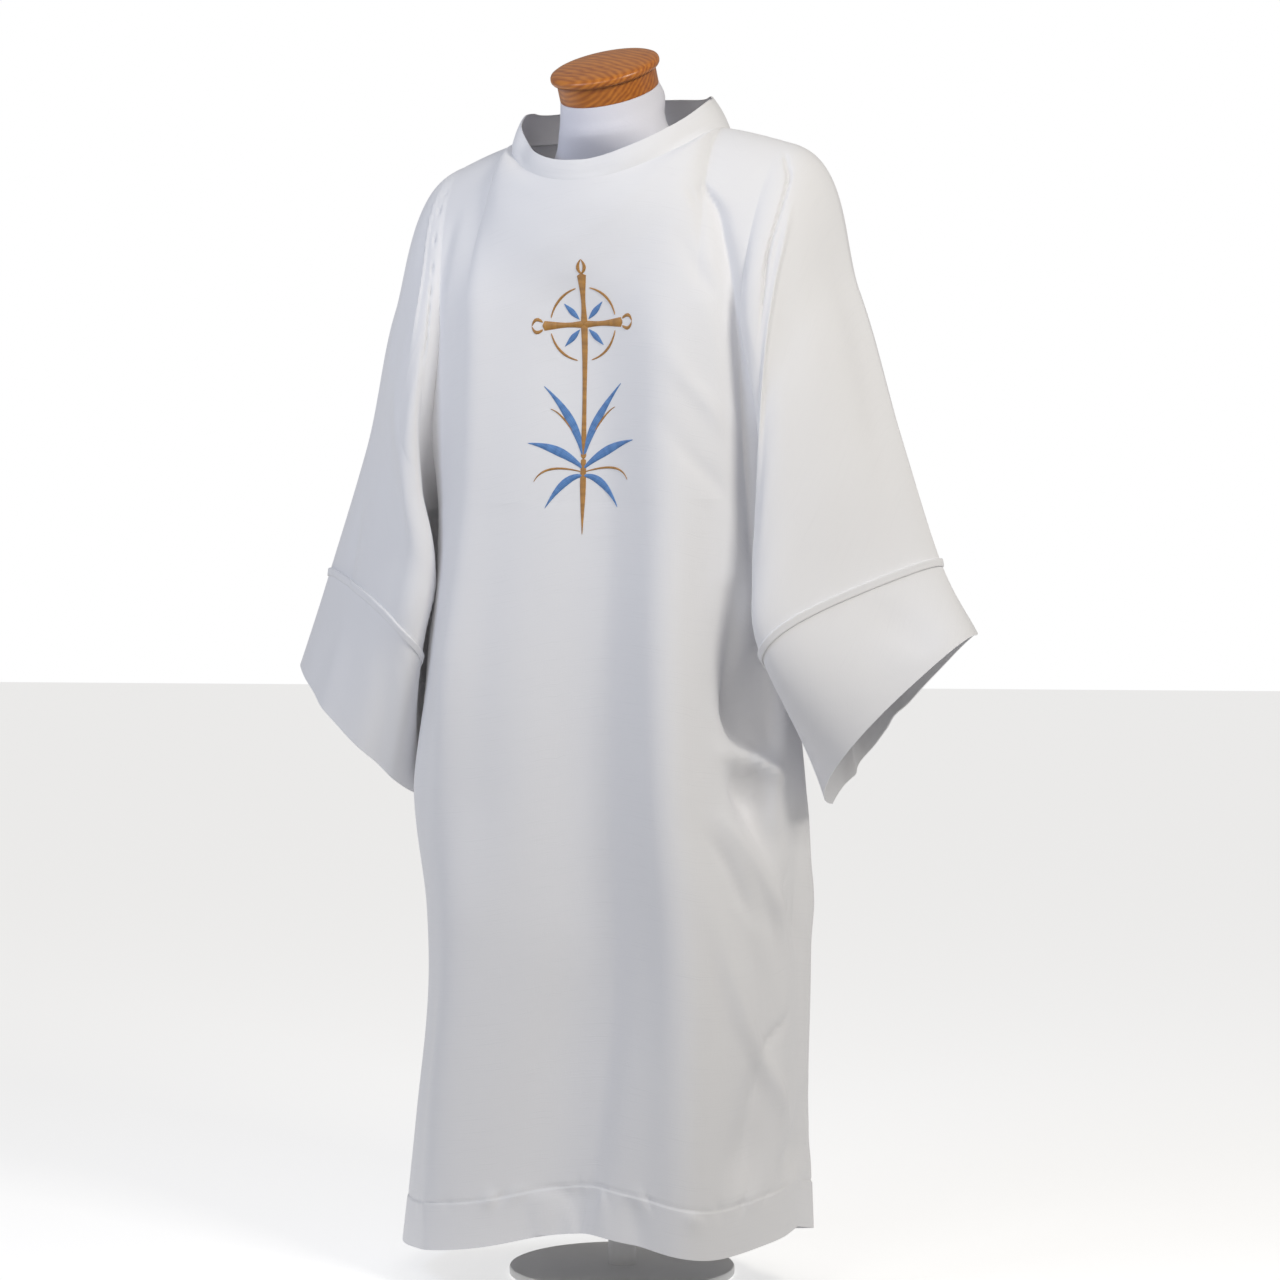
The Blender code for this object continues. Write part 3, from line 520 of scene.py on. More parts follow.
# ---------------------------------------------------------------- finishes
@dataclass
class Nodes:
    """Adds and joins the nodes of one material."""

    tree: bpy.types.NodeTree

    def add(self, kind: str, inputs: dict[str, Any] | None = None, **settings: Any) -> bpy.types.Node:
        """Adds a node.

        Args:
            kind: Its type, without the ShaderNode in front.
            inputs: Values or sockets for its inputs, by name or number.
            settings: Its own properties.

        Returns:
            The node.
        """
        node = self.tree.nodes.new(f"ShaderNode{kind}")
        for name, value in settings.items():
            setattr(node, name, value)
        self.fill(node, inputs or {})
        return node

    def fill(self, node: bpy.types.Node, inputs: dict[str, Any]) -> None:
        """Gives a node's inputs their values or sockets."""
        for name, value in inputs.items():
            if isinstance(value, bpy.types.NodeSocket):
                self.tree.links.new(value, node.inputs[name])
            else:
                node.inputs[name].default_value = value

    def maths(self, operation: str, *values: Any) -> bpy.types.NodeSocket:
        """The result of a Math node on numbers or sockets."""
        return self.add("Math", dict(enumerate(values)), operation=operation).outputs[0]

    def scaled(self, place: bpy.types.NodeSocket, scale: Point) -> bpy.types.NodeSocket:
        """A place with each axis multiplied."""
        node = self.add("VectorMath", {0: place, 1: scale}, operation="MULTIPLY")
        return node.outputs[0]

    def noise(self, place: bpy.types.NodeSocket, scale: float, detail: float = 2.0) -> bpy.types.NodeSocket:
        """Noise at a place, from 0 to 1."""
        node = self.add("TexNoise", {"Vector": place, "Scale": scale, "Detail": detail})
        return node.outputs["Fac"]

    def spread(self, value: Any, low: float, high: float, to_low: float = 0.0, to_high: float = 1.0) -> Any:
        """A value mapped from one range to another, and held inside it."""
        inputs = {"Value": value, "From Min": low, "From Max": high, "To Min": to_low, "To Max": to_high}
        return self.add("MapRange", inputs, clamp=True).outputs[0]

    def blend(self, share: Any, one: Any, other: Any) -> bpy.types.NodeSocket:
        """A mix of two colours."""
        node = self.add("Mix", data_type="RGBA")
        for socket, value in zip((node.inputs[0], node.inputs[6], node.inputs[7]), (share, one, other)):
            if isinstance(value, bpy.types.NodeSocket):
                self.tree.links.new(value, socket)
            else:
                socket.default_value = value if isinstance(value, float) else (*value, 1.0)
        return node.outputs[2]

    def bump(self, height: Any, distance: float, strength: float = 1.0, under: Any = None) -> Any:
        """A Bump node's normal, on top of another's where one is given."""
        inputs = {"Height": height, "Distance": distance, "Strength": strength}
        if under is not None:
            inputs["Normal"] = under
        return self.add("Bump", inputs).outputs[0]


def new_material(name: str) -> tuple[bpy.types.Material, bpy.types.Node, Nodes]:
    """A material with its shader and a tool for its nodes."""
    made = bpy.data.materials.new(name)
    made.use_nodes = True
    return made, made.node_tree.nodes["Principled BSDF"], Nodes(made.node_tree)


@dataclass(frozen=True)
class ClothFinish:
    """Fine white vestment cloth in plain weave, with uneven crosswise threads."""

    name: str = "white_vestment_cloth"
    colour: Colour = (0.80, 0.80, 0.82)
    slub_colour: Colour = (0.74, 0.74, 0.765)
    roughness: float = 0.78
    sheen: float = 0.22
    thread: float = 0.0006

    def make(self) -> bpy.types.Material:
        """The finish as a material."""
        made, shader, nodes = new_material(self.name)
        place = nodes.add("UVMap", uv_map="cloth").outputs[0]
        slub = nodes.noise(nodes.scaled(place, (16.0, 560.0, 1.0)), 1.0, 3.0)
        streak = nodes.spread(slub, 0.56, 0.80)
        fine = nodes.noise(nodes.scaled(place, (60.0, 1500.0, 1.0)), 1.0, 1.0)
        warp = nodes.noise(nodes.scaled(place, (1500.0, 60.0, 1.0)), 1.0, 1.0)
        weave = nodes.maths("ADD", fine, warp)
        tone = nodes.maths("MULTIPLY", streak, 0.40)
        colour = nodes.blend(tone, self.colour, self.slub_colour)
        soft = nodes.spread(nodes.noise(place, 9.0, 2.0), 0.3, 0.7)
        colour = nodes.blend(nodes.maths("MULTIPLY", soft, 0.06), colour, (0.70, 0.70, 0.75))
        normal = nodes.bump(weave, 0.00012, 0.5)
        normal = nodes.bump(streak, 0.00014, 0.5, normal)
        nodes.fill(shader, {
            "Base Color": colour, "Normal": normal, "Roughness": self.roughness,
            "Sheen Weight": self.sheen, "Sheen Roughness": 0.45, "Specular IOR Level": 0.3,
        })
        return made


@dataclass(frozen=True)
class JerseyFinish:
    """White cotton jersey with fine upright ribs, and painted shade in the hollows of its ribs and loops."""

    name: str = "form_jersey"
    colour: Colour = (0.86, 0.86, 0.93)
    painted_rib_shade: Colour = (0.76, 0.76, 0.85)
    roughness: float = 0.85

    def make(self) -> bpy.types.Material:
        """The finish as a material."""
        made, shader, nodes = new_material(self.name)
        place = nodes.add("UVMap", uv_map="cloth").outputs[0]
        rib = nodes.add(
            "TexWave",
            {"Vector": nodes.scaled(place, (1.0, 0.15, 1.0)), "Scale": 230.0, "Distortion": 1.2},
            bands_direction="X",
        ).outputs["Fac"]
        loops = nodes.noise(nodes.scaled(place, (700.0, 900.0, 1.0)), 1.0, 1.0)
        height = nodes.maths("ADD", rib, loops)
        # Painted shade: the lower the rib and loop relief, the nearer the colour is to the shade colour.
        colour = nodes.blend(nodes.spread(height, 0.4, 1.5, 0.7, 0.0), self.colour, self.painted_rib_shade)
        nodes.fill(shader, {
            "Base Color": colour, "Normal": nodes.bump(height, 0.0002, 0.6), "Roughness": self.roughness,
            "Sheen Weight": 0.2,
        })
        return made


@dataclass(frozen=True)
class WoodFinish:
    """Orange-brown wood with an even grain, under satin varnish."""

    name: str = "varnished_wood"
    light: Colour = (0.62, 0.215, 0.026)
    dark: Colour = (0.31, 0.078, 0.011)
    roughness: float = 0.38

    def make(self) -> bpy.types.Material:
        """The finish as a material."""
        made, shader, nodes = new_material(self.name)
        place = nodes.add("TexCoord").outputs["Object"]
        turned = nodes.add("Mapping", {"Vector": place, "Rotation": (0.5, 0.0, 0.35)}).outputs[0]
        bend = nodes.noise(nodes.scaled(turned, (6.0, 24.0, 24.0)), 1.0, 2.0)
        grain = nodes.noise(nodes.scaled(turned, (14.0, 190.0, 190.0)), 1.0, 4.0)
        rings = nodes.add(
            "TexWave",
            {"Vector": nodes.scaled(turned, (0.9, 9.0, 9.0)), "Scale": 7.0, "Distortion": 5.0, "Detail": 2.0},
            bands_direction="Y",
        ).outputs["Fac"]
        mixed = nodes.maths("ADD", nodes.maths("MULTIPLY", grain, 0.7), nodes.maths("MULTIPLY", rings, 0.35))
        mixed = nodes.maths("ADD", mixed, nodes.maths("MULTIPLY", bend, 0.3))
        colour = nodes.blend(nodes.spread(mixed, 0.35, 1.0), self.light, self.dark)
        nodes.fill(shader, {
            "Base Color": colour, "Normal": nodes.bump(grain, 0.0001, 0.4), "Roughness": self.roughness,
            "Coat Weight": 0.25, "Coat Roughness": 0.25,
        })
        return made


@dataclass(frozen=True)
class LacquerFinish:
    """White satin powder coat with a fine orange-peel surface."""

    name: str = "white_lacquer"
    colour: Colour = (0.86, 0.86, 0.86)
    roughness: float = 0.42

    def make(self) -> bpy.types.Material:
        """The finish as a material."""
        made, shader, nodes = new_material(self.name)
        place = nodes.add("TexCoord").outputs["Object"]
        peel = nodes.noise(place, 900.0, 1.0)
        wear = nodes.spread(nodes.noise(place, 30.0, 3.0), 0.55, 0.8)
        colour = nodes.blend(nodes.maths("MULTIPLY", wear, 0.12), self.colour, (0.74, 0.74, 0.73))
        nodes.fill(shader, {
            "Base Color": colour, "Normal": nodes.bump(peel, 0.00006, 0.4), "Roughness": self.roughness,
        })
        return made


@dataclass(frozen=True)
class ThreadFinish:
    """Embroidery thread in satin stitch, laid across each stroke, with painted highlight and painted shade across
    each stitch band.
    """

    name: str
    # light and dark: the thread's painted highlight and painted shade, which random tone also mixes
    light: Colour
    dark: Colour
    roughness: float = 0.42
    stitch: float = 0.0007

    def make(self) -> bpy.types.Material:
        """The finish as a material."""
        made, shader, nodes = new_material(self.name)
        place = nodes.add("UVMap", uv_map="cloth").outputs[0]
        lines = nodes.add(
            "TexWave",
            {"Vector": place, "Scale": 0.314 / self.stitch / 2, "Distortion": 0.6, "Detail": 1.0},
            bands_direction="Y",
        ).outputs["Fac"]
        drift = nodes.noise(nodes.scaled(place, (1.0, 60.0, 1.0)), 2.0, 2.0)
        share = nodes.maths("ADD", nodes.maths("MULTIPLY", lines, 0.45), nodes.maths("MULTIPLY", drift, 0.7))
        # Painted highlight and painted shade: each stitch band runs from the light colour to the dark one, with
        # random drift along the stroke.
        colour = nodes.blend(nodes.spread(share, 0.3, 0.95), self.light, self.dark)
        nodes.fill(shader, {
            "Base Color": colour, "Normal": nodes.bump(lines, 0.00025, 0.7), "Roughness": self.roughness,
            "Sheen Weight": 0.3, "Anisotropic": 0.5,
        })
        return made


@dataclass
class Finishes:
    """The materials of the whole object."""

    cloth: bpy.types.Material = field(default_factory=lambda: ClothFinish().make())
    jersey: bpy.types.Material = field(default_factory=lambda: JerseyFinish().make())
    wood: bpy.types.Material = field(default_factory=lambda: WoodFinish().make())
    lacquer: bpy.types.Material = field(default_factory=lambda: LacquerFinish().make())
    threads: dict[Thread, bpy.types.Material] = field(
        default_factory=lambda: {
            # Each thread's two colours are its painted highlight and painted shade.
            Thread.GOLD: ThreadFinish("gold_thread", (0.58, 0.29, 0.06), (0.17, 0.065, 0.014)).make(),
            Thread.BLUE: ThreadFinish("blue_thread", (0.13, 0.31, 0.64), (0.022, 0.09, 0.29)).make(),
        }
    )


# ---------------------------------------------------------------- building meshes
def placed(name: str, data: bpy.types.ID) -> bpy.types.Object:
    """A new object in the scene, with its data."""
    made = bpy.data.objects.new(name, data)
    bpy.context.scene.collection.objects.link(made)
    return made


def finished(name: str, bm: bmesh.types.BMesh, finish: bpy.types.Material, smooth: bool = True) -> Any:
    """An object at the origin from a bmesh, which is freed.

    Args:
        name: Its name.
        bm: Its shape, in place.
        finish: Its material.
        smooth: Whether it is shaded smooth.

    Returns:
        The object.
    """
    mesh = bpy.data.meshes.new(name)
    bm.to_mesh(mesh)
    bm.free()
    mesh.materials.append(finish)
    if smooth:
        mesh.shade_smooth()
        mesh.set_sharp_from_angle(angle=SMOOTH_BELOW)
    return placed(name, mesh)


def hand_over(piece: bpy.types.Object, slot: str, *nodes: str) -> None:
    """Lets a piece ride on the body and replaces its CAD nodes."""
    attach(piece, BODY)
    if nodes:
        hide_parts(*nodes)
    LOG.info("%s: %d faces", piece.name, len(piece.data.polygons))


def placed_grid(bm: bmesh.types.BMesh, points: Grid, closed: bool) -> bmesh.types.BMLayerItem:
    """Makes a grid and moves its vertices to a grid of points.

    Args:
        bm: Where to make it.
        points: Rows by columns of points.
        closed: Whether the last column is joined to the first.

    Returns:
        The vertex layer that holds each vertex's number in the grid.
    """
    if closed:
        points = closed_up(points)
    rows, columns = points.shape[:2]
    place = bm.verts.layers.int.new("place")
    made = bmesh.ops.create_grid(bm, x_segments=columns - 1, y_segments=rows - 1, size=1.0)
    for vert in made["verts"]:
        column = round((vert.co.x + 1) / 2 * (columns - 1))
        row = round((vert.co.y + 1) / 2 * (rows - 1))
        vert[place] = row * columns + column
        vert.co = points[row, column]
    if closed:
        bmesh.ops.remove_doubles(bm, verts=bm.verts, dist=WELD)
        for vert in bm.verts:
            if vert[place] % columns == columns - 1:
                vert[place] -= columns - 1
    return place


@dataclass
class Shell:
    """A sewn piece: an outer and an inner sheet of points, joined round their edges."""

    name: str
    surface: Surface
    thickness: Grid | float
    closed: bool = False

    def build(self, finish: bpy.types.Material) -> bpy.types.Object:
        """Builds the piece with its cloth map and its shared normals.

        Args:
            finish: Its material.

        Returns:
            The object.
        """
        outer, normals, flat = self.surface.points, self.surface.normals, self.surface.flat
        inner = outer - normals * np.broadcast_to(np.asarray(self.thickness), outer.shape[:2])[..., None]
        bm = bmesh.new()
        place = placed_grid(bm, outer, self.closed)
        layer = bm.verts.layers.int.new("inner")
        if self.closed:
            inner = closed_up(inner)
            normals = closed_up(normals)
        inner_points = inner.reshape(-1, 3)
        made = bmesh.ops.extrude_face_region(bm, geom=bm.faces[:], use_keep_orig=True)
        for item in made["geom"]:
            if isinstance(item, bmesh.types.BMVert):
                item[layer] = 1
                item.co = inner_points[item[place]]
        bmesh.ops.recalc_face_normals(bm, faces=bm.faces)
        bm.faces.ensure_lookup_table()
        first = next(f for f in bm.faces if all(not v[layer] for v in f.verts))
        if first.normal.dot(Vector(normals.reshape(-1, 3)[first.verts[0][place]])) < 0:
            bmesh.ops.reverse_faces(bm, faces=bm.faces)
        made_piece = finished(self.name, bm, finish)
        self.dress(made_piece.data, normals, flat)
        return made_piece

    def dress(self, mesh: bpy.types.Mesh, normals: Grid, flat: Grid) -> None:
        """Gives the mesh its cloth map and the sheets' own normals.

        Args:
            mesh: The shell's mesh, all quads.
            normals: Outward normals of the outer sheet.
            flat: Place of each point on the flat cloth.
        """
        columns = normals.shape[1]
        count = len(mesh.loops)
        corner = np.empty(count, int)
        mesh.loops.foreach_get("vertex_index", corner)
        place, inner = np.empty(len(mesh.vertices), int), np.empty(len(mesh.vertices), int)
        mesh.attributes["place"].data.foreach_get("value", place)
        mesh.attributes["inner"].data.foreach_get("value", inner)
        at, inside = place[corner].reshape(-1, 4), inner[corner].reshape(-1, 4)
        if self.closed:
            wraps = np.ptp(at % columns, axis=1) > columns // 2
            low = at % columns < columns // 2
            at = np.where(wraps[:, None] & low, at + columns - 1, at)
        uv = mesh.uv_layers.new(name="cloth")
        uv.data.foreach_set("uv", flat.reshape(-1, 2)[at.ravel()].ravel())
        rim = (inside.min(axis=1) != inside.max(axis=1))[:, None]
        way = np.where(inside == 1, -1.0, 1.0)[..., None] * normals.reshape(-1, 3)[at]
        way = np.where(rim[..., None], 0.0, way)
        mesh.polygons.foreach_set("use_smooth", ~rim.ravel())
        mesh.normals_split_custom_set(way.reshape(-1, 3).tolist())
        for name in ("place", "inner"):
            mesh.attributes.remove(mesh.attributes[name])


def tube(name: str, rings: Grid, finish: bpy.types.Material, flat: Grid | None = None) -> bpy.types.Object:
    """A closed solid through rings that run upwards.

    Args:
        name: Its name.
        rings: Rows by columns of points, the last column joined to the first.
        finish: Its material.
        flat: Place of each point on its cloth map, with one more column than the rings.

    Returns:
        The object.
    """
    bm = bmesh.new()
    place = placed_grid(bm, rings, True)
    columns = rings.shape[1] + 1
    if flat is not None:
        uv = bm.loops.layers.uv.new("cloth")
        for face in bm.faces:
            wraps = max(v[place] % columns for v in face.verts) - min(v[place] % columns for v in face.verts) > 2
            for loop in face.loops:
                at = loop.vert[place]
                if wraps and at % columns == 0:
                    at += columns - 1
                loop[uv].uv = flat.reshape(-1, 2)[at]
    bmesh.ops.holes_fill(bm, edges=[e for e in bm.edges if e.is_boundary], sides=0)
    bmesh.ops.recalc_face_normals(bm, faces=bm.faces)
    made = finished(name, bm, finish)
    made.data.attributes.remove(made.data.attributes["place"])
    return made


# ---------------------------------------------------------------- body of the garment
@dataclass(frozen=True)
class BodyShape:
    """The form of the garment's body, its neck and its shoulders."""

    levels: tuple[Level, ...] = LEVELS
    neck_half_width: float = 0.130
    neck_front: float = -0.116
    neck_back: float = 0.098
    neck_heights: Point = (1.246, 1.312, 1.330)
    neck_dip: float = 1.6
    neck_pull: tuple[float, float] = (0.03, 0.15)
    over_pull: float = 0.17
    shoulder_x: float = 0.205
    shoulder_height: float = 1.292
    shoulder_back: float = 0.014
    shoulder_bend: float = 1.25
    armhole_front: float = -0.096
    armhole_back: float = 0.084
    armhole_round: float = 0.65
    squeeze: float = 2.4
    neck_share: float = 0.56
    section_points: int = 241

    def value(self, name: str, height: Grid | float) -> Grid:
        """One of the levels' values at any height."""
        return column(self.levels, name, np.asarray(height, float))

    def face_y(self, facing: Facing, height: Grid | float) -> Grid:
        """The y of the middle of the front or back."""
        return self.value("front_y" if facing is Facing.FRONT else "back_y", height)

    def armhole_y(self, facing: Facing, height: float) -> float:
        """The y of a panel's side edge: the side seam below the arm and the armhole above it."""
        side = float(self.value("side_y", height))
        if height <= UNDERARM:
            return side
        fold = self.armhole_front if facing is Facing.FRONT else self.armhole_back
        drop = (CHEST - height) / (CHEST - UNDERARM)
        return side + (fold - side) * max(0.0, 1.0 - drop * drop) ** self.armhole_round

    def quarter(self, facing: Facing, height: float, last_turn: float) -> tuple[Grid, Grid, Grid]:
        """Half a panel's section from its middle outwards.

        Args:
            facing: Front or back.
            height: Its level.
            last_turn: Where it ends, a quarter turn being the side seam.

        Returns:
            The x, the y and the distance along the cloth.
        """
        power = 2.0 / float(self.value("square", height))
        side_y = float(self.value("side_y", height))
        turn = np.linspace(0.0, last_turn, self.section_points)
        x = float(self.value("half_width", height)) * np.sin(turn) ** power
        y = side_y + (float(self.face_y(facing, height)) - side_y) * np.cos(turn) ** power
        run = np.concatenate([[0.0], np.cumsum(np.hypot(np.diff(x), np.diff(y)))])
        return x, y, run

    def level_row(self, facing: Facing, height: float, shares: Grid) -> tuple[Grid, Grid]:
        """Points of a panel at one height, and their distances from its middle along the cloth."""
        side_y = float(self.value("side_y", height))
        depth = float(self.face_y(facing, height)) - side_y
        cut = (self.armhole_y(facing, height) - side_y) / depth
        power = 2.0 / float(self.value("square", height))
        x, y, run = self.quarter(facing, height, math.acos(cut ** (1 / power)))
        whole = self.quarter(facing, height, math.pi / 2)[2][-1]
        size = np.abs(shares)
        at = whole * size - (whole - run[-1]) * size**self.squeeze
        across = float(self.value("middle_x", height)) + np.sign(shares) * np.interp(at, run, x)
        return np.stack([across, np.interp(at, run, y), np.full(len(shares), height)], axis=1), at

    def neckline(self, angle: Grid) -> Grid:
        """Points of the neck seam. Angle 0 is the middle of the front, a quarter turn the left."""
        forward = np.cos(angle)
        front, side, back = self.neck_heights
        y = np.where(forward > 0, self.neck_front, -self.neck_back) * forward
        end = np.where(forward > 0, front, back)
        z = side + (end - side) * np.abs(forward) ** self.neck_dip
        return np.stack([self.neck_half_width * np.sin(angle), y, z], axis=-1)

    def panel_top(self, facing: Facing, shares: Grid) -> tuple[Grid, Grid]:
        """The neck and shoulder seams that end a panel, and the pull with which it meets them."""
        size = np.abs(shares)
        turn = np.clip(size / self.neck_share, 0.0, 1.0) * math.pi / 2
        top = self.neckline(turn if facing is Facing.FRONT else math.pi - turn)
        along = np.clip((size - self.neck_share) / (1.0 - self.neck_share), 0.0, 1.0)
        top[:, 0] += along * (self.shoulder_x - self.neck_half_width)
        top[:, 1] = np.where(size > self.neck_share, along * self.shoulder_back, top[:, 1])
        top[:, 2] += (self.shoulder_height - self.neck_heights[1]) * along**self.shoulder_bend
        top[:, 0] *= np.sign(shares)
        over = np.sin(turn) ** 2
        pull = np.zeros_like(top)
        pull[:, 1] = -facing.value * (self.neck_pull[0] + self.over_pull * over)
        pull[:, 2] = self.neck_pull[1] * (1.0 - over)
        return top, pull


@dataclass(frozen=True)
class Division:
    """How finely the sewn pieces are divided, so that they meet point by point at their seams."""

    skirt_rows: int = 112
    armhole_rows: int = 56
    neck_columns: int = 46
    shoulder_columns: int = 46
    sleeve_rows: tuple[int, int, int] = (44, 34, 32)
    band_rows: int = 34


@dataclass(frozen=True)
class HemSewing:
    """The turned-up hem: its depth, the line of stitches that holds it, and the small puckers."""

    depth: float = 0.053
    line_width: float = 0.0016
    line_depth: float = 0.0011
    step: float = 0.0008
    pucker: float = 0.0017
    pucker_spread: float = 0.011
    edge: float = 0.0016
    step_width: float = 0.0016
    puckers: int = 46
    pucker_reach: float = 0.30
    pucker_widths: tuple[float, float] = (0.004, 0.009)
    pucker_lean: float = 0.5
    pucker_above: float = 0.7

    def heights(self) -> list[float]:
        """Heights above the hem's edge at which the cloth needs a row of its own."""
        near = (0.0008, 0.0016, 0.003, 0.005, 0.008, 0.012)
        offs = (*(-off for off in reversed(near)), 0.0, *near)
        return [0.0, 0.0005, 0.0014, 0.0035] + [self.depth + off for off in offs]

    def rise(self, across: Grid, up: Grid, seed: int) -> Grid:
        """The relief of the stitched line, the double cloth and the puckers.

        Args:
            across: Place across the cloth.
            up: Height above the edge.
            seed: Which set of puckers.

        Returns:
            The rise at each place.
        """
        off = up - self.depth
        line = -self.line_depth * np.exp(-((off / self.line_width) ** 2))
        chance = np.random.default_rng(seed)
        puckers = np.zeros_like(across)
        for _ in range(self.puckers):
            at = chance.uniform(-self.pucker_reach, self.pucker_reach)
            wide = chance.uniform(*self.pucker_widths)
            lean = chance.uniform(-self.pucker_lean, self.pucker_lean)
            tall = chance.uniform(-1.0, 1.0)
            puckers += tall * np.exp(-(((across - at - lean * off) / wide) ** 2))
        reach = np.where(off > 0, self.pucker_spread * self.pucker_above, self.pucker_spread)
        spread = np.exp(-((off / reach) ** 2))
        doubled = self.step * ease((self.depth - up) / self.step_width)
        return line + self.pucker * puckers * spread + doubled


@dataclass
class Panel:
    """The front or back of the garment, from its hem to its neck and shoulders."""

    facing: Facing
    shape: BodyShape
    folds: tuple[Fold, ...]
    creases: tuple[Crease, ...]
    seed: int
    division: Division = Division()
    hem: HemSewing = HemSewing()
    fold_fade: float = 0.035
    fold_ends: float = 0.16
    armhole_fade: float = 0.05
    side_fade: float = 0.1
    top_fade: float = 0.25
    row_gap: float = 0.003
    chest_step: float = 0.01
    chest_pull: float = 0.17
    cloth: float = 0.0019
    hem_extra: float = 0.75
    hem_change: float = 0.002
    edge_round: float = 0.92

    def __post_init__(self) -> None:
        """Works out the panel's surface."""
        shares = self.shares()
        points, across, up = self.plain_surface(shares)
        heights = points[:, :, 2]
        rise = self.fold_rise(heights, across) + self.side_rise(heights, across)
        points = points + self.outward(points) * rise[..., None]
        keep = self.edge_fade(across)
        keep = keep + (1.0 - keep) * ease((heights - UNDERARM) / self.armhole_fade)
        rise = crease_rise(self.creases, heights, across) * keep + self.fine_relief(across, up)
        self.points = points + self.outward(points) * rise[..., None]
        self.normals = self.outward(self.points)
        self.flat = np.stack([across, run_along(self.points, 0)], axis=2)

    def outward(self, points: Grid) -> Grid:
        """The panel's outward normals, straight out sideways along its side seams."""
        normals = -self.facing.value * grid_normals(points)
        skirt = len(points) - 2 * self.division.armhole_rows
        for column, side in ((0, -1.0), (-1, 1.0)):
            rising = np.gradient(points[:skirt, column], axis=0)
            edge = np.cross(np.array([0.0, side, 0.0]), rising)
            edge[:, 1] = 0.0
            normals[:skirt, column] = unit(edge)
        return normals

    def side_rise(self, heights: Grid, across: Grid) -> Grid:
        """The rise of the creases that cross the side seams, the same on both panels."""
        beyond = self.facing.value * (np.abs(across[:, -1:]) - np.abs(across))
        rise = np.where(
            across > 0,
            crease_rise(LEFT_SIDE_CREASES, heights, beyond),
            crease_rise(RIGHT_SIDE_CREASES, heights, beyond),
        )
        return rise * ease((UNDERARM - heights) / self.side_fade)

    @property
    def name(self) -> str:
        """The panel's node."""
        return self.facing.name.lower()

    def shares(self) -> Grid:
        """The columns: shares of the half width, negative on the wearer's right."""
        neck = np.linspace(0.0, self.shape.neck_share, self.division.neck_columns + 1)
        shoulder = np.linspace(self.shape.neck_share, 1.0, self.division.shoulder_columns + 1)[1:]
        half = np.concatenate([neck, shoulder])
        return np.concatenate([-half[:0:-1], half])

    def skirt_heights(self) -> Grid:
        """The levels of the rows from the hem to just below the underarm."""
        plain = np.linspace(0.0, 1.0, self.division.skirt_rows + 1)[:-1] * UNDERARM
        sewn = np.array(self.hem.heights())
        clear = np.abs(plain[:, None] - sewn[None, :]).min(axis=1) > self.row_gap
        return np.sort(np.concatenate([plain[clear], sewn]))

    def plain_surface(self, shares: Grid) -> tuple[Grid, Grid, Grid]:
        """The panel without its folds.

        Args:
            shares: Its columns.

        Returns:
            Its points, their signed distance from the middle along the cloth, and their height
            above the hem's edge.
        """
        hem = column(HEM, self.name, shares)
        rows, across, up = [], [], []
        for height in self.skirt_heights():
            row, at = self.shape.level_row(self.facing, height, shares)
            row[:, 2] += hem * (1.0 - height / UNDERARM)
            rows.append(row)
            across.append(at)
            up.append(height * (1.0 - hem / UNDERARM))
        drop = CHEST - UNDERARM
        for swing in np.linspace(0.0, math.pi / 2, self.division.armhole_rows + 1):
            height = CHEST - drop * math.cos(swing)
            row, at = self.shape.level_row(self.facing, height, shares)
            rows.append(row)
            across.append(at)
            up.append(np.full(len(shares), height))
        below, _ = self.shape.level_row(self.facing, CHEST - self.chest_step, shares)
        chest, chest_pull = rows[-1], (rows[-1] - below) / self.chest_step * self.chest_pull
        top, top_pull = self.shape.panel_top(self.facing, shares)
        for share in np.linspace(0.0, 1.0, self.division.armhole_rows + 1)[1:]:
            rows.append(hermite(chest, chest_pull, top, top_pull, share))
            across.append(across[-1])
            up.append(np.full(len(shares), CHEST + share))
        return np.array(rows), np.sign(shares) * np.array(across), np.array(up)

    def edge_fade(self, across: Grid) -> Grid:
        """1 on the panel and 0 at its side edges."""
        return ease((np.abs(across[:, -1:]) - np.abs(across)) / self.fold_fade)

    def fold_rise(self, heights: Grid, across: Grid) -> Grid:
        """How far the large folds move the panel's points out.

        Args:
            heights: Their z.
            across: Their signed distance from the middle.

        Returns:
            The rise at each point.
        """
        rise = np.zeros_like(heights)
        for fold in self.folds:
            down = np.clip((fold.top - heights) / (fold.top - fold.foot), 0.0, 1.0)
            middle = fold.top_at + (fold.foot_at - fold.top_at) * down
            ends = ease((fold.top - heights) / self.fold_ends) * ease((heights - fold.foot) / self.fold_ends)
            rise += fold.depth * np.exp(-(((across - middle) / fold.half_width) ** 2)) * ends
        return rise * self.edge_fade(across)

    def fine_relief(self, across: Grid, up: Grid) -> Grid:
        """The soft unevenness of the cloth and the sewing of the hem."""
        top = ease((CHEST + 1.0 - up) / self.top_fade)
        soft = unevenness(across, up, self.seed, UNEVEN) * self.edge_fade(across) * top
        return soft + self.hem.rise(across, up, self.seed) * self.edge_fade(across)

    def thickness(self) -> Grid:
        """The cloth's thickness at each point, doubled in the hem and rounded at its fold."""
        up = self.flat[:, :, 1]
        doubled = 1.0 + self.hem_extra * ease((self.hem.depth - up) / self.hem_change)
        rounded = np.sqrt(1.0 - np.clip(1.0 - up / self.hem.edge, 0.0, self.edge_round) ** 2)
        return self.cloth * doubled * rounded

    def build(self, finish: bpy.types.Material) -> bpy.types.Object:
        points, normals, flat, thick = self.points, self.normals, self.flat, self.thickness()
        if self.facing is Facing.BACK:
            points, normals, flat, thick = (grid[:, ::-1] for grid in (points, normals, flat, thick))
        made = Shell(f"{self.name}_panel", Surface(points, normals, flat), thick).build(finish)
        hand_over(made, "white_cloth", self.name)
        return made


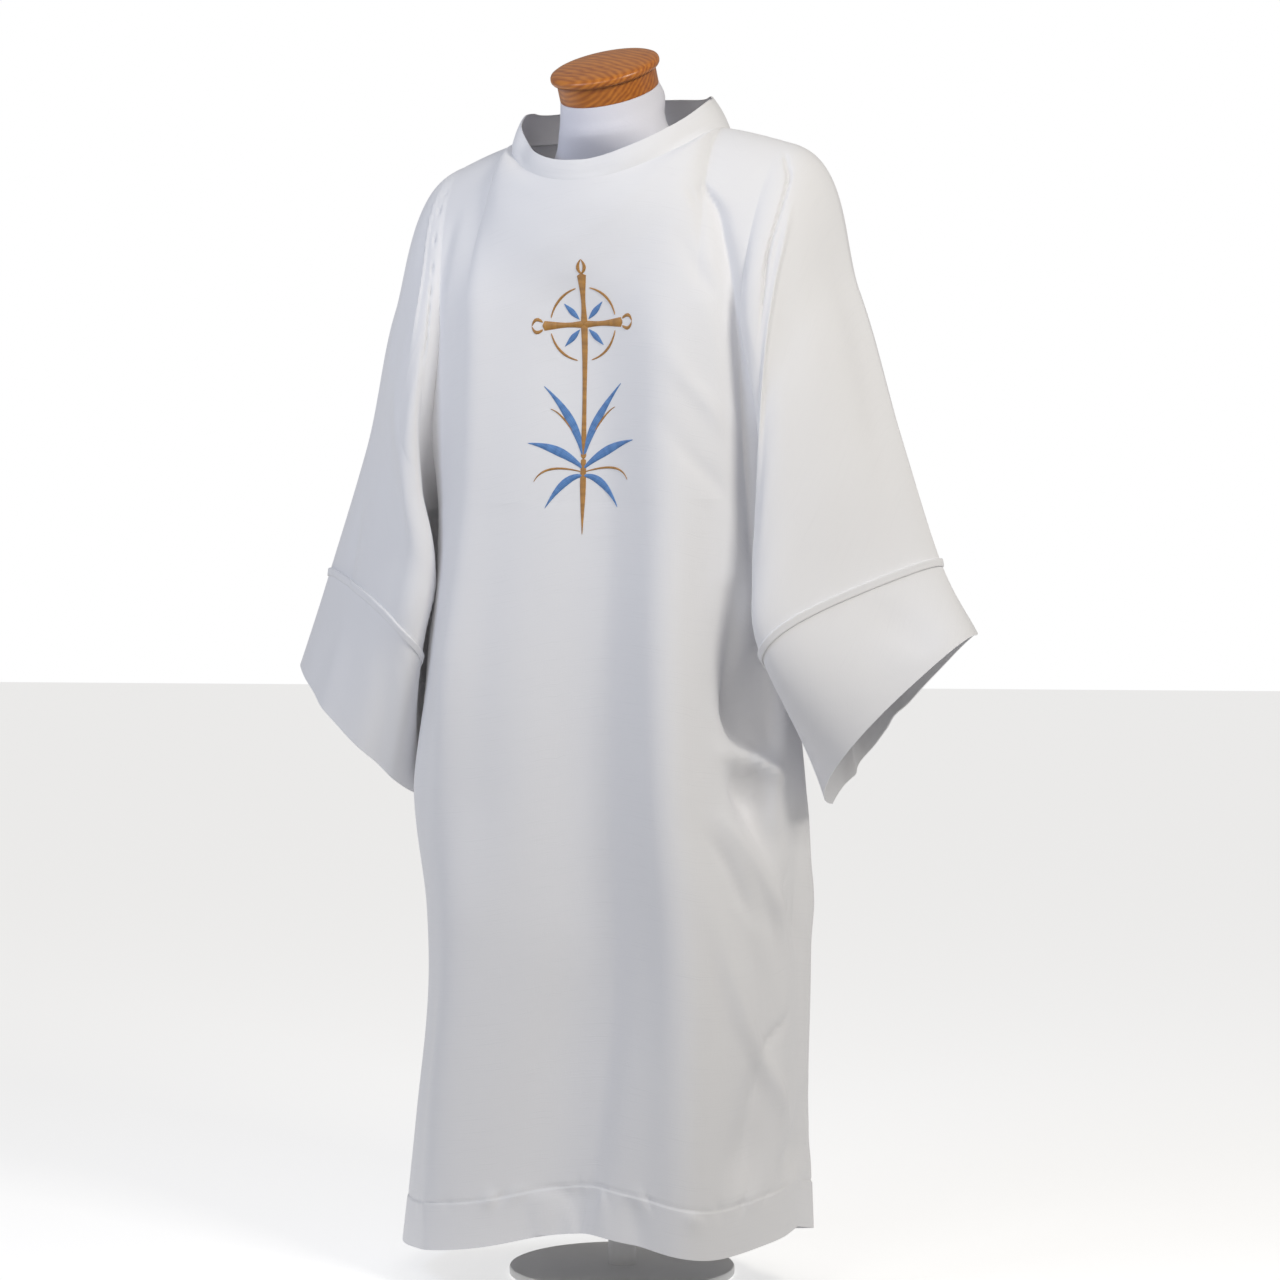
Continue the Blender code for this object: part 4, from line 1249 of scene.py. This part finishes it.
# ---------------------------------------------------------------- sleeves
@dataclass
class Sleeve:
    """A sleeve with its band and the welt over their seam, worked out on the wearer's left."""

    side: Side
    front: Panel
    back: Panel
    stations: tuple[Station, ...]
    cuff: Station
    creases: tuple[Crease, ...]
    seed: int
    division: Division = Division()
    gap: float = 0.013
    settle: float = 0.08
    leave_top: tuple[Point, float] = ((0.96, 0.0, -0.27), 0.20)
    leave_fold: tuple[Point, float] = ((0.42, 0.88, -0.22), 0.10)
    leave_under: tuple[Point, float] = ((0.30, 0.0, -0.95), 0.07)
    cloth: float = 0.0019
    welt_section: tuple[tuple[float, float], ...] = (
        (0.0050, 0.0002), (0.0050, 0.0012), (0.0046, 0.0022), (0.0039, 0.0029), (0.0030, 0.0031), (0.0018, 0.0029),
        (0.0004, 0.0026), (-0.0012, 0.0023), (-0.0028, 0.0021), (-0.0040, 0.0019), (-0.0046, 0.0014),
        (-0.0047, 0.0007), (-0.0046, 0.0002), (-0.0020, 0.0001), (0.0020, 0.0001),
    )

    def __post_init__(self) -> None:
        """Works out the sleeve's surface and joins its normals to the armhole's."""
        start = self.armhole([panel.points for panel in (self.front, self.back)])
        points = self.plain_surface(start)
        around = run_along(closed_up(points), 1)
        along = run_along(points, 0)
        normals = grid_normals(points, closed=True)
        rise = self.relief(points, around, along)
        self.points = points + normals * rise[..., None]
        self.normals = grid_normals(self.points, closed=True)
        edge = self.armhole([panel.normals for panel in (self.front, self.back)])
        self.normals[0], edge = shared(self.normals[0], edge)
        self.give_back(edge)
        self.flat = np.stack([around, closed_up(along)], axis=2)

    @property
    def word(self) -> str:
        """The side as in the node names."""
        return self.side.name.lower()

    def flip(self, grid: Grid) -> Grid:
        """The grid for the wearer's right, with its columns the other way round."""
        return grid if self.side is Side.LEFT else (grid * np.array([-1.0, 1.0, 1.0]))[:, ::-1]

    def armhole(self, grids: list[Grid]) -> Grid:
        """The armhole edge of the panels' points or normals, as on the wearer's left, from the
        shoulder round the front, under the arm and up the back."""
        rows = 2 * self.division.armhole_rows + 1
        front, back = (self.flip(grid)[-rows:, -1] for grid in grids)
        return np.concatenate([front[::-1], back[1:-1]])

    def give_back(self, edge: Grid) -> None:
        """Writes the armhole's changed normals back to the panels."""
        rows = 2 * self.division.armhole_rows + 1
        column = -1 if self.side is Side.LEFT else 0
        sign = np.array([float(self.side.value), 1.0, 1.0])
        self.front.normals[-rows:, column] = edge[:rows][::-1] * sign
        self.back.normals[-rows:, column] = np.concatenate([edge[rows - 1 :], edge[:1]]) * sign

    def loop(self, station: Station, turn: Grid) -> Grid:
        """The closed section at one station."""
        outer, under = np.array(station.outer), np.array(station.under)
        swing = (1 + np.cos(turn)) / 2
        full = np.abs(np.sin(turn)) * (1 - station.low * np.cos(turn))
        layers = np.where((turn <= math.pi)[:, None], np.array(station.front), np.array(station.back))
        return under + (outer - under) * swing[:, None] + layers * full[:, None]

    def leaving(self, turn: Grid) -> Grid:
        """The tangent with which the sleeve leaves each point of the armhole."""
        over = np.maximum(0.0, np.cos(turn)) ** 2
        under = np.maximum(0.0, -np.cos(turn)) ** 2
        aside = np.sin(turn) ** 2
        facing = np.stack([np.ones_like(turn), -np.sign(np.sin(turn)), np.ones_like(turn)], axis=1)
        return (
            over[:, None] * np.array(self.leave_top[0]) * self.leave_top[1]
            + aside[:, None] * np.array(self.leave_fold[0]) * facing * self.leave_fold[1]
            + under[:, None] * np.array(self.leave_under[0]) * self.leave_under[1]
        )

    def clear_of_body(self, points: Grid) -> Grid:
        """The points, with those that would lie in the garment's body moved out past its side."""
        shape = self.front.shape
        height = np.minimum(points[..., 2], UNDERARM)
        side_y = shape.value("side_y", height)
        off = points[..., :2] - np.stack([np.zeros_like(side_y), side_y], axis=-1)
        face = np.where(off[..., 1] < 0, shape.value("front_y", height), shape.value("back_y", height))
        reach = np.stack([shape.value("half_width", height), np.abs(face - side_y)], axis=-1) + self.gap
        power = shape.value("square", height)
        size = (np.abs(off / reach) ** power[..., None]).sum(axis=-1) ** (1 / power)
        away = ease((UNDERARM - points[..., 2]) / self.gap)
        push = np.where(size < 1.0, (1.0 / np.maximum(size, 0.1) - 1.0) * away, 0.0)
        moved = points.copy()
        moved[..., :2] += off * push[..., None]
        return moved

    def plain_surface(self, start: Grid) -> Grid:
        """The sleeve and band without their folds, row by row from the armhole to the cuff."""
        turn = np.arange(len(start)) * 2 * math.pi / len(start)
        loops = [start] + [self.loop(station, turn) for station in (*self.stations, self.cuff)]
        pulls = [self.leaving(turn)]
        pulls += [(loops[i + 1] - loops[i - 1]) / 2 for i in range(1, len(loops) - 1)]
        pulls.append(loops[-1] - loops[-2])
        rows = [start]
        for i, steps in enumerate((*self.division.sleeve_rows, self.division.band_rows)):
            for t in np.linspace(0.0, 1.0, steps + 1)[1:]:
                rows.append(hermite(loops[i], pulls[i], loops[i + 1], pulls[i + 1], t))
        return self.clear_of_body(np.array(rows))

    def relief(self, points: Grid, around: Grid, along: Grid) -> Grid:
        """The rise of the sleeve's creases and of the cloth's soft unevenness."""
        count = points.shape[1]
        share = np.broadcast_to(np.linspace(0.0, 1.0, len(points))[:, None], points.shape[:2])
        turn = np.broadcast_to(np.arange(count) * 360.0 / count, points.shape[:2])
        scale = (around[:, 1:] - around[:, :-1]) * count / 360.0
        rise = crease_rise(self.creases, share, turn, scale)
        whole = float(around[:, -1].mean())
        level = around[:, :-1] / around[:, -1:] * whole
        soft = unevenness(level, along, self.seed, UNEVEN, whole)
        return rise + soft * ease(share / self.settle)

    def piece(self, kind: str, rows: slice, finish: bpy.types.Material) -> bpy.types.Object:
        """Builds the sleeve or its band from some of the rows."""
        points, normals, flat = self.points[rows], self.normals[rows], self.flat[rows]
        if self.side is Side.RIGHT:
            points, normals, flat = self.flip(points), self.flip(normals), flat[:, ::-1]
        made = Shell(f"{kind}_{self.word}_cloth", Surface(points, normals, flat), self.cloth, True).build(finish)
        hand_over(made, "white_cloth", f"{kind}_{self.word}")
        return made

    def build(self, finish: bpy.types.Material) -> list[bpy.types.Object]:
        """Builds the sleeve, its band and its welt."""
        seam = sum(self.division.sleeve_rows)
        sleeve = self.piece("sleeve", slice(None, seam + 1), finish)
        band = self.piece("band", slice(seam, None), finish)
        welt = self.build_welt(seam, finish)
        return [sleeve, band, welt]

    def build_welt(self, seam: int, finish: bpy.types.Material) -> bpy.types.Object:
        """The raised welt over the seam."""
        middle, out = self.points[seam], self.normals[seam]
        along = unit(self.points[seam - 2] - self.points[seam + 2])
        section = (*self.welt_section, self.welt_section[0])
        ring = np.array([middle + along * across + out * lift for across, lift in section])
        bm = bmesh.new()
        placed_grid(bm, self.flip(ring), True)
        bmesh.ops.remove_doubles(bm, verts=bm.verts, dist=WELD)
        bmesh.ops.recalc_face_normals(bm, faces=bm.faces)
        bm.verts.layers.int.remove(bm.verts.layers.int["place"])
        made = finished(f"welt_{self.word}_cord", bm, finish)
        made.data.uv_layers.new(name="cloth")
        hand_over(made, "white_cloth", f"welt_{self.word}")
        return made


# ---------------------------------------------------------------- collar
@dataclass
class Collar:
    """A low stand band that leans in towards the neck, with a rounded top fold."""

    shape: BodyShape
    height: tuple[float, float] = (0.034, 0.026)
    lean: tuple[float, float] = (0.52, 0.12)
    bow: float = 0.25
    cloth: float = 0.0029
    columns: int = 176
    seed: int = 31
    uneven: float = 0.0006
    settle: float = 0.3
    roll: float = 0.97
    shares: tuple[float, ...] = (*np.linspace(0.0, 0.9, 12), 0.94, 0.97, 0.99, 1.0)
    peaks: tuple[Point, ...] = (
        (-66.0, 15.0, 0.0070), (114.0, 17.0, 0.0065), (-20.0, 26.0, -0.0035), (178.0, 30.0, 0.0020),
    )
    dents: tuple[Point, ...] = (
        (-44.0, 9.0, -0.0042), (-57.0, 7.0, 0.0024), (8.0, 10.0, -0.0014), (62.0, 13.0, -0.0026),
    )

    def swell(self, turn: Grid, places: tuple[Point, ...]) -> Grid:
        """Soft rises round the band.

        Args:
            turn: Turn round the neck from the front, in radians.
            places: Turn and half width in degrees, and rise in metres, of each.

        Returns:
            The rise at each turn.
        """
        total = np.zeros_like(turn)
        for at, half_width, rise in places:
            off = (np.degrees(turn) - at + 180.0) % 360.0 - 180.0
            total += rise * np.exp(-((off / half_width) ** 2))
        return total

    def build(self, finish: bpy.types.Material) -> bpy.types.Object:
        turn = np.arange(self.columns) * 2 * math.pi / self.columns
        foot = self.shape.neckline(turn)
        forward = np.cos(turn)
        ahead = np.maximum(0.0, forward)
        lean = self.lean[0] + (self.lean[1] - self.lean[0]) * ahead
        height = self.height[0] + (self.height[1] - self.height[0]) * ahead + self.swell(turn, self.peaks)
        inwards = np.stack([-np.sin(turn), forward, 0 * turn], axis=1)
        rise = np.stack([0 * turn, 0 * turn, np.ones_like(turn)], axis=1)
        shares = np.array(self.shares)
        rows = []
        for share in shares:
            up = share * height
            bow = self.bow * share * (1 - share) * height
            rows.append(foot + rise * up[:, None] + inwards * (up * lean - bow)[:, None])
        points = np.array(rows)
        normals = grid_normals(points, closed=True)
        v = run_along(points, 0)
        u = run_along(closed_up(points), 1)
        soft = unevenness(u[:, :-1], v, self.seed, self.uneven, float(u[:, -1].mean()))
        soft = soft + self.swell(turn, self.dents)
        points = points + normals * (soft * ease(shares / self.settle)[:, None])[..., None]
        near_top = np.clip(1.0 - (1.0 - shares) * height.mean() / (self.cloth / 2), 0.0, self.roll)
        tuck = self.cloth / 2 * (1.0 - np.sqrt(1.0 - near_top**2))
        normals = grid_normals(points, closed=True)
        points = points - normals * tuck[:, None, None]
        thick = np.broadcast_to((self.cloth - 2 * tuck)[:, None], points.shape[:2])
        flat = np.stack([u, closed_up(v)], axis=2)
        made = Shell("collar_band", Surface(points, normals, flat), thick, True).build(finish)
        hand_over(made, "white_cloth", "collar")
        return made


# ---------------------------------------------------------------- embroidery
class Stroke(NamedTuple):
    """A satin-stitched stroke: its thread, its points as x and height on the chest, and its width
    at the start, in the middle and at the end."""

    thread: Thread
    points: tuple[tuple[float, float], ...]
    widths: Point


@dataclass
class Embroidery:
    """A cross that stands on lily leaves, worked in gold and blue on the chest."""

    front: Panel
    centre_x: float = 0.005
    foot: float = 0.848
    crossing: float = 0.236
    ring: float = 0.041
    rise: float = 0.0011
    sink: float = 0.0005
    clear: float = 0.0001
    least_width: float = 0.0006
    step: float = 0.0016
    sides: int = 12
    taper: float = 0.02
    blunt: float = 0.05
    thin_rise: float = 0.35
    full_width: float = 0.006
    map_step: float = 0.0005
    ray_from: float = -0.6
    strokes: list[Stroke] = field(default_factory=list)

    def add(self, thread: Thread, path: tuple[float, ...], widths: Point, pair: bool = False) -> None:
        """Adds a stroke, and its mirror image about the middle line if it is one of a pair.

        Args:
            thread: Its thread.
            path: x and height of its three points, in millimetres.
            widths: Its three widths, in tenths of a millimetre.
            pair: Whether the mirror image is added too.
        """
        wide = tuple(width / 10000 for width in widths)
        for side in (1, -1) if pair else (1,):
            points = tuple((side * path[i] / 1000, path[i + 1] / 1000) for i in (0, 2, 4))
            self.strokes.append(Stroke(thread, points, wide))

    def draw(self) -> None:
        """Lists the strokes, from the middle line and from the foot."""
        gold, blue, add = Thread.GOLD, Thread.BLUE, self.add
        add(gold, (0, 85, 0, 160, 0, 236), (66, 52, 86))
        add(gold, (0, 236, 0, 262, 0, 292), (86, 56, 115))
        add(gold, (0, 236, 22, 236, 50, 236), (86, 56, 115), pair=True)
        add(gold, (0, 292, 4, 299, 0, 308), (20, 42, 10), pair=True)
        add(gold, (50, 240, 58, 243, 63, 236), (25, 40, 10), pair=True)
        add(gold, (50, 232, 58, 229, 63, 236), (25, 40, 10), pair=True)
        for angle in (45, 135, 225, 315):
            dx, dz = math.cos(math.radians(angle)), math.sin(math.radians(angle))
            ray = tuple((dx * r, self.crossing + dz * r) for r in (0.008, 0.020, 0.034))
            self.strokes.append(Stroke(blue, ray, (0.0010, 0.0068, 0.0008)))
            turns = [math.radians(angle + off) for off in (-33, 0, 33)]
            arc = tuple(
                (self.ring * math.cos(turn), self.crossing + self.ring * math.sin(turn)) for turn in turns
            )
            self.strokes.append(Stroke(gold, arc, (0.0014, 0.0030, 0.0014)))
        add(blue, (0, 86, 16, 128, 48, 168), (30, 95, 8), pair=True)
        add(blue, (0, 74, 30, 94, 66, 104), (30, 100, 8), pair=True)
        add(gold, (1, 96, 22, 128, 40, 142), (10, 22, 8), pair=True)
        add(blue, (0, 66, 22, 58, 44, 30), (30, 85, 8), pair=True)
        add(gold, (0, 70, 38, 74, 58, 60), (12, 26, 8), pair=True)
        add(gold, (0, 85, 0, 50, 0, 0), (60, 68, 8))

    def sheet_tree(self) -> BVHTree:
        """The front's outer sheet, to lay the strokes on."""
        rows, columns = self.front.points.shape[:2]
        number = np.arange(rows * columns).reshape(rows, columns)
        quads = np.stack([number[:-1, :-1], number[:-1, 1:], number[1:, 1:], number[1:, :-1]], axis=-1)
        return BVHTree.FromPolygons(self.front.points.reshape(-1, 3).tolist(), quads.reshape(-1, 4).tolist())

    def build_stroke(self, bm: bmesh.types.BMesh, stroke: Stroke, tree: BVHTree) -> None:
        """Adds one stroke as a flattened, tapered tube that lies on the cloth."""
        knots = np.array(stroke.points)
        length = float(np.linalg.norm(np.diff(knots, axis=0), axis=1).sum())
        steps = max(12, round(length / self.step))
        t = np.linspace(0.0, 1.0, steps + 1)
        bend = 2 * knots[1] - (knots[0] + knots[2]) / 2
        line = (1 - t)[:, None] ** 2 * knots[0] + 2 * ((1 - t) * t)[:, None] * bend + t[:, None] ** 2 * knots[2]
        wide = smooth_through(np.array([0.0, 0.5, 1.0]), np.array(stroke.widths), t)
        ends = np.sqrt(np.clip(np.minimum(t, 1 - t) / self.taper, self.blunt, 1.0))
        wide = np.maximum(wide, self.least_width) * ends
        way = unit(np.gradient(line, axis=0))
        aside = np.stack([way[:, 1], -way[:, 0]], axis=1)
        rings = []
        for i in range(steps + 1):
            ring = []
            for turn in np.linspace(0.0, 2 * math.pi, self.sides + 1)[:-1]:
                x, z = line[i] + aside[i] * math.cos(turn) * wide[i] / 2
                start = Vector((self.centre_x + x, self.ray_from, self.foot + z))
                found, normal, _, _ = tree.ray_cast(start, Vector((0.0, 1.0, 0.0)))
                if normal.y > 0:
                    normal = -normal
                lift = math.sin(turn) * (self.rise if math.sin(turn) > 0 else self.sink)
                lift *= min(1.0, self.thin_rise + wide[i] / self.full_width)
                ring.append(found + normal * (lift + self.clear))
            rings.append(ring)
        patch = bmesh.new()
        place = placed_grid(patch, np.array(rings), True)
        uv = patch.loops.layers.uv.new("cloth")
        run = np.concatenate([[0.0], np.cumsum(np.linalg.norm(np.diff(line, axis=0), axis=1))])
        for face in patch.faces:
            for loop in face.loops:
                at = loop.vert[place]
                loop[uv].uv = (at % (self.sides + 1) * self.map_step, run[at // (self.sides + 1)])
        bmesh.ops.holes_fill(patch, edges=[e for e in patch.edges if e.is_boundary], sides=0)
        bmesh.ops.recalc_face_normals(patch, faces=patch.faces)
        mesh = bpy.data.meshes.new("stroke")
        patch.to_mesh(mesh)
        patch.free()
        bm.from_mesh(mesh)
        bpy.data.meshes.remove(mesh)

    def build(self, finishes: Finishes) -> None:
        """Builds the strokes of each thread as one piece."""
        self.draw()
        tree = self.sheet_tree()
        for thread in Thread:
            bm = bmesh.new()
            bm.loops.layers.uv.new("cloth")
            for stroke in self.strokes:
                if stroke.thread is thread:
                    self.build_stroke(bm, stroke, tree)
            made = finished(f"embroidery_{thread.name.lower()}", bm, finishes.threads[thread])
            hand_over(made, thread.value)


# ---------------------------------------------------------------- dress form
@dataclass
class DressForm:
    """The limbless form: padded torso, wooden neck cap, pole and round base."""

    rings: tuple[FormRing, ...] = FORM_RINGS
    segments: int = 96
    neck_tilt: float = 28.0
    neck_radius: float = 0.0575
    neck_flare: float = 0.004
    neck_flare_drop: float = 0.018
    wood_length: float = 0.022
    cap_radius: float = 0.0635
    cap_thickness: float = 0.012
    cap_centre: Point = (0.0, -0.050, 1.388)
    pole_radius: float = 0.016
    base_radius: float = 0.130
    base_thickness: float = 0.010
    base_bevel: float = 0.003
    foot_bevel: float = 0.001
    torso_rows: int = 72
    neck_pull: float = 1.2
    neck_shares: Point = (0.34, 0.67, 1.0)
    flare_shares: tuple[float, ...] = (0.25, 0.5, 0.75, 1.0)

    def level_ring(self, height: float) -> Grid:
        """A ring of the torso at any height between the first ring and the last."""
        names = ("half_width", "front_y", "back_y", "tilt")
        wide, front, back, tilt = (float(column(self.rings, name, height)) for name in names)
        turn = np.arange(self.segments) * 2 * math.pi / self.segments
        off = (back - front) / 2 * np.sin(turn)
        lean = math.radians(tilt)
        return np.stack(
            [wide * np.cos(turn), (front + back) / 2 + off * math.cos(lean), height + off * math.sin(lean)], axis=1
        )

    def neck_ring(self, radius: float, below: float) -> Grid:
        """A ring square to the neck, some distance below the cap's middle."""
        turn = np.arange(self.segments) * 2 * math.pi / self.segments
        lean = math.radians(self.neck_tilt)
        off = radius * np.sin(turn)
        axis = np.array([0.0, -math.sin(lean), math.cos(lean)])
        flat = np.stack([radius * np.cos(turn), off * math.cos(lean), off * math.sin(lean)], axis=1)
        return np.array(self.cap_centre) - axis * below + flat

    def build_torso(self, finish: bpy.types.Material) -> None:
        """The padded torso in its jersey, up to the wood of the neck."""
        heights = np.unique(np.round(np.concatenate([
            np.linspace(self.rings[0].height, self.rings[-1].height, self.torso_rows),
            [ring.height for ring in self.rings],
        ]), 4))
        rings = [self.level_ring(float(height)) for height in heights]
        wood_foot = self.cap_thickness + self.wood_length
        last = rings[-1]
        flare = self.neck_ring(self.neck_radius + self.neck_flare, wood_foot + self.neck_flare_drop)
        top = self.neck_ring(self.neck_radius, wood_foot)
        before = rings[-4]
        for share in self.neck_shares:
            rings.append(hermite(last, (last - before) * self.neck_pull, flare, (top - last) / 2, share))
        for share in self.flare_shares:
            rings.append(hermite(flare, (top - last) / 2, top, top - flare, share))
        points = np.array(rings)
        around = run_along(closed_up(points), 1)
        up = run_along(points, 0)
        flat = np.stack([around, closed_up(up)], axis=2)
        made = tube("torso_jersey", points, finish, flat)
        hand_over(made, "jersey", "form_torso")

    def spun(self, name: str, profile: tuple[tuple[float, float], ...], finish: bpy.types.Material) -> Any:
        """A turned piece about Z from a profile of radii and heights that starts and ends on it."""
        bm = bmesh.new()
        verts = [bm.verts.new((radius, 0.0, height)) for radius, height in profile]
        edges = [bm.edges.new(pair) for pair in zip(verts, verts[1:])]
        bmesh.ops.spin(
            bm, geom=verts + edges, cent=(0, 0, 0), axis=(0, 0, 1), dvec=(0, 0, 0),
            angle=2 * math.pi, steps=self.segments, use_merge=True, use_duplicate=False,
        )
        bmesh.ops.remove_doubles(bm, verts=bm.verts, dist=WELD)
        bmesh.ops.recalc_face_normals(bm, faces=bm.faces)
        return finished(name, bm, finish)

    def build_wood(self, finish: bpy.types.Material) -> None:
        """The wooden neck block and the cap on it, tilted forward."""
        place = Matrix.Translation(self.cap_centre) @ Matrix.Rotation(math.radians(self.neck_tilt), 4, "X")
        foot = self.cap_thickness + self.wood_length
        wide, bevel, top = self.neck_radius, self.foot_bevel, -self.cap_thickness
        block = ((0.0, -foot), (wide - bevel, -foot), (wide, -foot + bevel), (wide, top), (0.0, top))
        cap = tuple((self.cap_radius * out, self.cap_thickness * up) for out, up in CAP_PROFILE)
        for name, profile, node in (("neck_block", block, "form_neck_ring"), ("neck_cap", cap, "form_cap")):
            made = self.spun(name, profile, finish)
            made.data.transform(place)
            hand_over(made, "wood", node)

    def build_stand(self, finish: bpy.types.Material) -> None:
        """The pole and the round base."""
        top = self.rings[0].height
        wide, thick, bevel, foot = (
            self.base_radius, self.base_thickness, self.base_bevel, self.foot_bevel
        )
        pole = ((0.0, thick), (self.pole_radius, thick), (self.pole_radius, top), (0.0, top))
        base = ((0.0, 0.0), (wide - foot, 0.0), (wide, foot), (wide, thick - bevel),
                (wide - bevel * 0.3, thick - bevel * 0.3), (wide - bevel, thick), (0.0, thick))
        for name, profile, node in (("stand_pole", pole, "form_pole"), ("stand_base", base, "form_base")):
            made = self.spun(name, profile, finish)
            hand_over(made, "white_lacquer", node)

    def build(self, finishes: Finishes) -> None:
        """Builds every part of the form."""
        self.build_torso(finishes.jersey)
        self.build_wood(finishes.wood)
        self.build_stand(finishes.lacquer)


# ---------------------------------------------------------------- garment
@dataclass
class Garment:
    """The dalmatic: two panels, two sleeves with bands and welts, and a collar."""

    finishes: Finishes
    shape: BodyShape = BodyShape()

    def build(self) -> None:
        """Works out every surface, joins the normals at the seams, and builds the pieces."""
        front = Panel(Facing.FRONT, self.shape, FRONT_FOLDS, FRONT_CREASES, 5)
        back = Panel(Facing.BACK, self.shape, BACK_FOLDS, BACK_CREASES, 11)
        self.join_panels(front, back)
        left = Sleeve(Side.LEFT, front, back, LEFT_STATIONS, LEFT_CUFF, LEFT_SLEEVE_CREASES, 17)
        right = Sleeve(Side.RIGHT, front, back, RIGHT_STATIONS, RIGHT_CUFF, RIGHT_SLEEVE_CREASES, 23)
        cloth = self.finishes.cloth
        for panel in (front, back):
            made = panel.build(cloth)
        for sleeve in (left, right):
            piece, band, welt = sleeve.build(cloth)
            piece.name
        collar = Collar(self.shape).build(cloth)
        Embroidery(front).build(self.finishes)

    def join_panels(self, front: Panel, back: Panel) -> None:
        """Gives the panels one set of normals along their shoulder and side seams."""
        shoulder = front.division.shoulder_columns + 1
        skirt = len(front.points) - 2 * front.division.armhole_rows
        for seam in (np.s_[-1, :shoulder], np.s_[-1, -shoulder:], np.s_[:skirt, 0], np.s_[:skirt, -1]):
            front.normals[seam], back.normals[seam] = shared(front.normals[seam], back.normals[seam])


# ---------------------------------------------------------------- studio
@dataclass(frozen=True)
class Lamp:
    """A soft square light: where it stands, what it looks at, its power, size and colour."""

    name: str
    place: Point
    aim: Point
    power: float
    size: float
    colour: Colour
    spread: float

    def build(self) -> None:
        """Adds the light."""
        data = bpy.data.lights.new(self.name, "AREA")
        data.energy, data.size, data.color = self.power, self.size, self.colour
        data.spread = math.radians(self.spread)
        made = placed(self.name, data)
        made.location = self.place
        made.visible_camera = False
        way = Vector(self.aim) - Vector(self.place)
        made.rotation_euler = way.to_track_quat("-Z", "Y").to_euler()


@dataclass(frozen=True)
class Studio:
    """Pale floor, soft lights and the camera."""

    azimuth: float = 25.0
    camera_height: float = 0.73
    distance: float = 3.5
    lens: float = 85.2
    shift: float = 0.014
    # Where the floor's painted glow begins and is full, along the way away from the camera, and its strength.
    glow: Point = (-0.30, -0.05, 0.62)
    floor_grey: float = 0.62
    floor_drop: float = 0.0005
    room: float = 0.32
    room_colour: Colour = (1.0, 0.97, 0.93)
    lamps: tuple[Lamp, ...] = (
        Lamp("key", (1.92, -1.06, 2.20), (0.0, 0.0, 0.95), 28.0, 0.6, (1.0, 0.965, 0.89), 180.0),
        Lamp("cool_side", (-0.95, -1.45, 1.80), (-0.2, 0.0, 1.1), 10.5, 0.8, (0.68, 0.78, 1.0), 180.0),
        Lamp("upper_front", (0.20, -1.36, 1.55), (0.0, 0.0, 1.15), 3.5, 0.6, (1.0, 0.98, 0.96), 180.0),
    )

    def build(self) -> None:
        """Builds the floor, the world, the lights and the camera."""
        self.build_floor()
        self.build_room()
        for lamp in self.lamps:
            lamp.build()
        self.build_camera()

    def build_floor(self) -> None:
        """A wide pale floor that glows by its own emission, painted light that is strongest under and behind the
        object and also lights it, in a bright room.
        """
        bm = bmesh.new()
        bmesh.ops.create_grid(bm, x_segments=1, y_segments=1, size=40.0)
        finish, shader, nodes = new_material("pale_floor")
        turn = math.radians(self.azimuth)
        place = nodes.add("TexCoord").outputs["Object"]
        back = (-math.sin(turn), math.cos(turn), 0.0)
        behind = nodes.add("VectorMath", {0: place, 1: back}, operation="DOT_PRODUCT")
        begins, full, strength = self.glow
        # Painted light: the floor emits light, rising to full strength under and behind the object.
        glow = nodes.spread(behind.outputs["Value"], begins, full, 0.0, strength)
        nodes.fill(shader, {
            "Emission Strength": glow, "Emission Color": (1.0, 1.0, 1.0, 1.0),
            "Base Color": (self.floor_grey,) * 3 + (1.0,), "Roughness": 0.9,
        })
        floor = finished("floor", bm, finish, smooth=False)
        floor.data.transform(Matrix.Translation((0.0, 0.0, -self.floor_drop)))

    def build_room(self) -> None:
        """The room's own light, with a white backdrop all round."""
        world = bpy.data.worlds.new("studio")
        world.use_nodes = True
        nodes = Nodes(world.node_tree)
        soft = world.node_tree.nodes["Background"]
        soft.inputs[0].default_value = (*self.room_colour, 1.0)
        soft.inputs[1].default_value = self.room
        white = nodes.add("Background", {"Color": (1.0, 1.0, 1.0, 1.0), "Strength": 1.0})
        seen = nodes.add("LightPath").outputs["Is Camera Ray"]
        both = nodes.add("MixShader", {0: seen, 1: soft.outputs[0], 2: white.outputs[0]})
        world.node_tree.links.new(both.outputs[0], world.node_tree.nodes["World Output"].inputs[0])
        bpy.context.scene.world = world
        bpy.context.scene.view_settings.view_transform = "Standard"

    def build_camera(self) -> None:
        """A level camera, a little to the wearer's left of the front."""
        turn = math.radians(self.azimuth)
        data = bpy.data.cameras.new("camera")
        data.lens, data.sensor_width, data.shift_x = self.lens, 36.0, self.shift
        camera = placed("camera", data)
        camera.location = (self.distance * math.sin(turn), -self.distance * math.cos(turn), self.camera_height)
        camera.rotation_euler = (math.pi / 2, 0.0, turn)
        bpy.context.scene.camera = camera


def main() -> None:
    """Builds the form, the garment and the studio in order."""
    logging.basicConfig(level=logging.INFO, format="%(name)s: %(message)s")
    finishes = Finishes()
    DressForm().build(finishes)
    Garment(finishes).build()
    Studio().build()


if __name__ == "__main__":
    main()
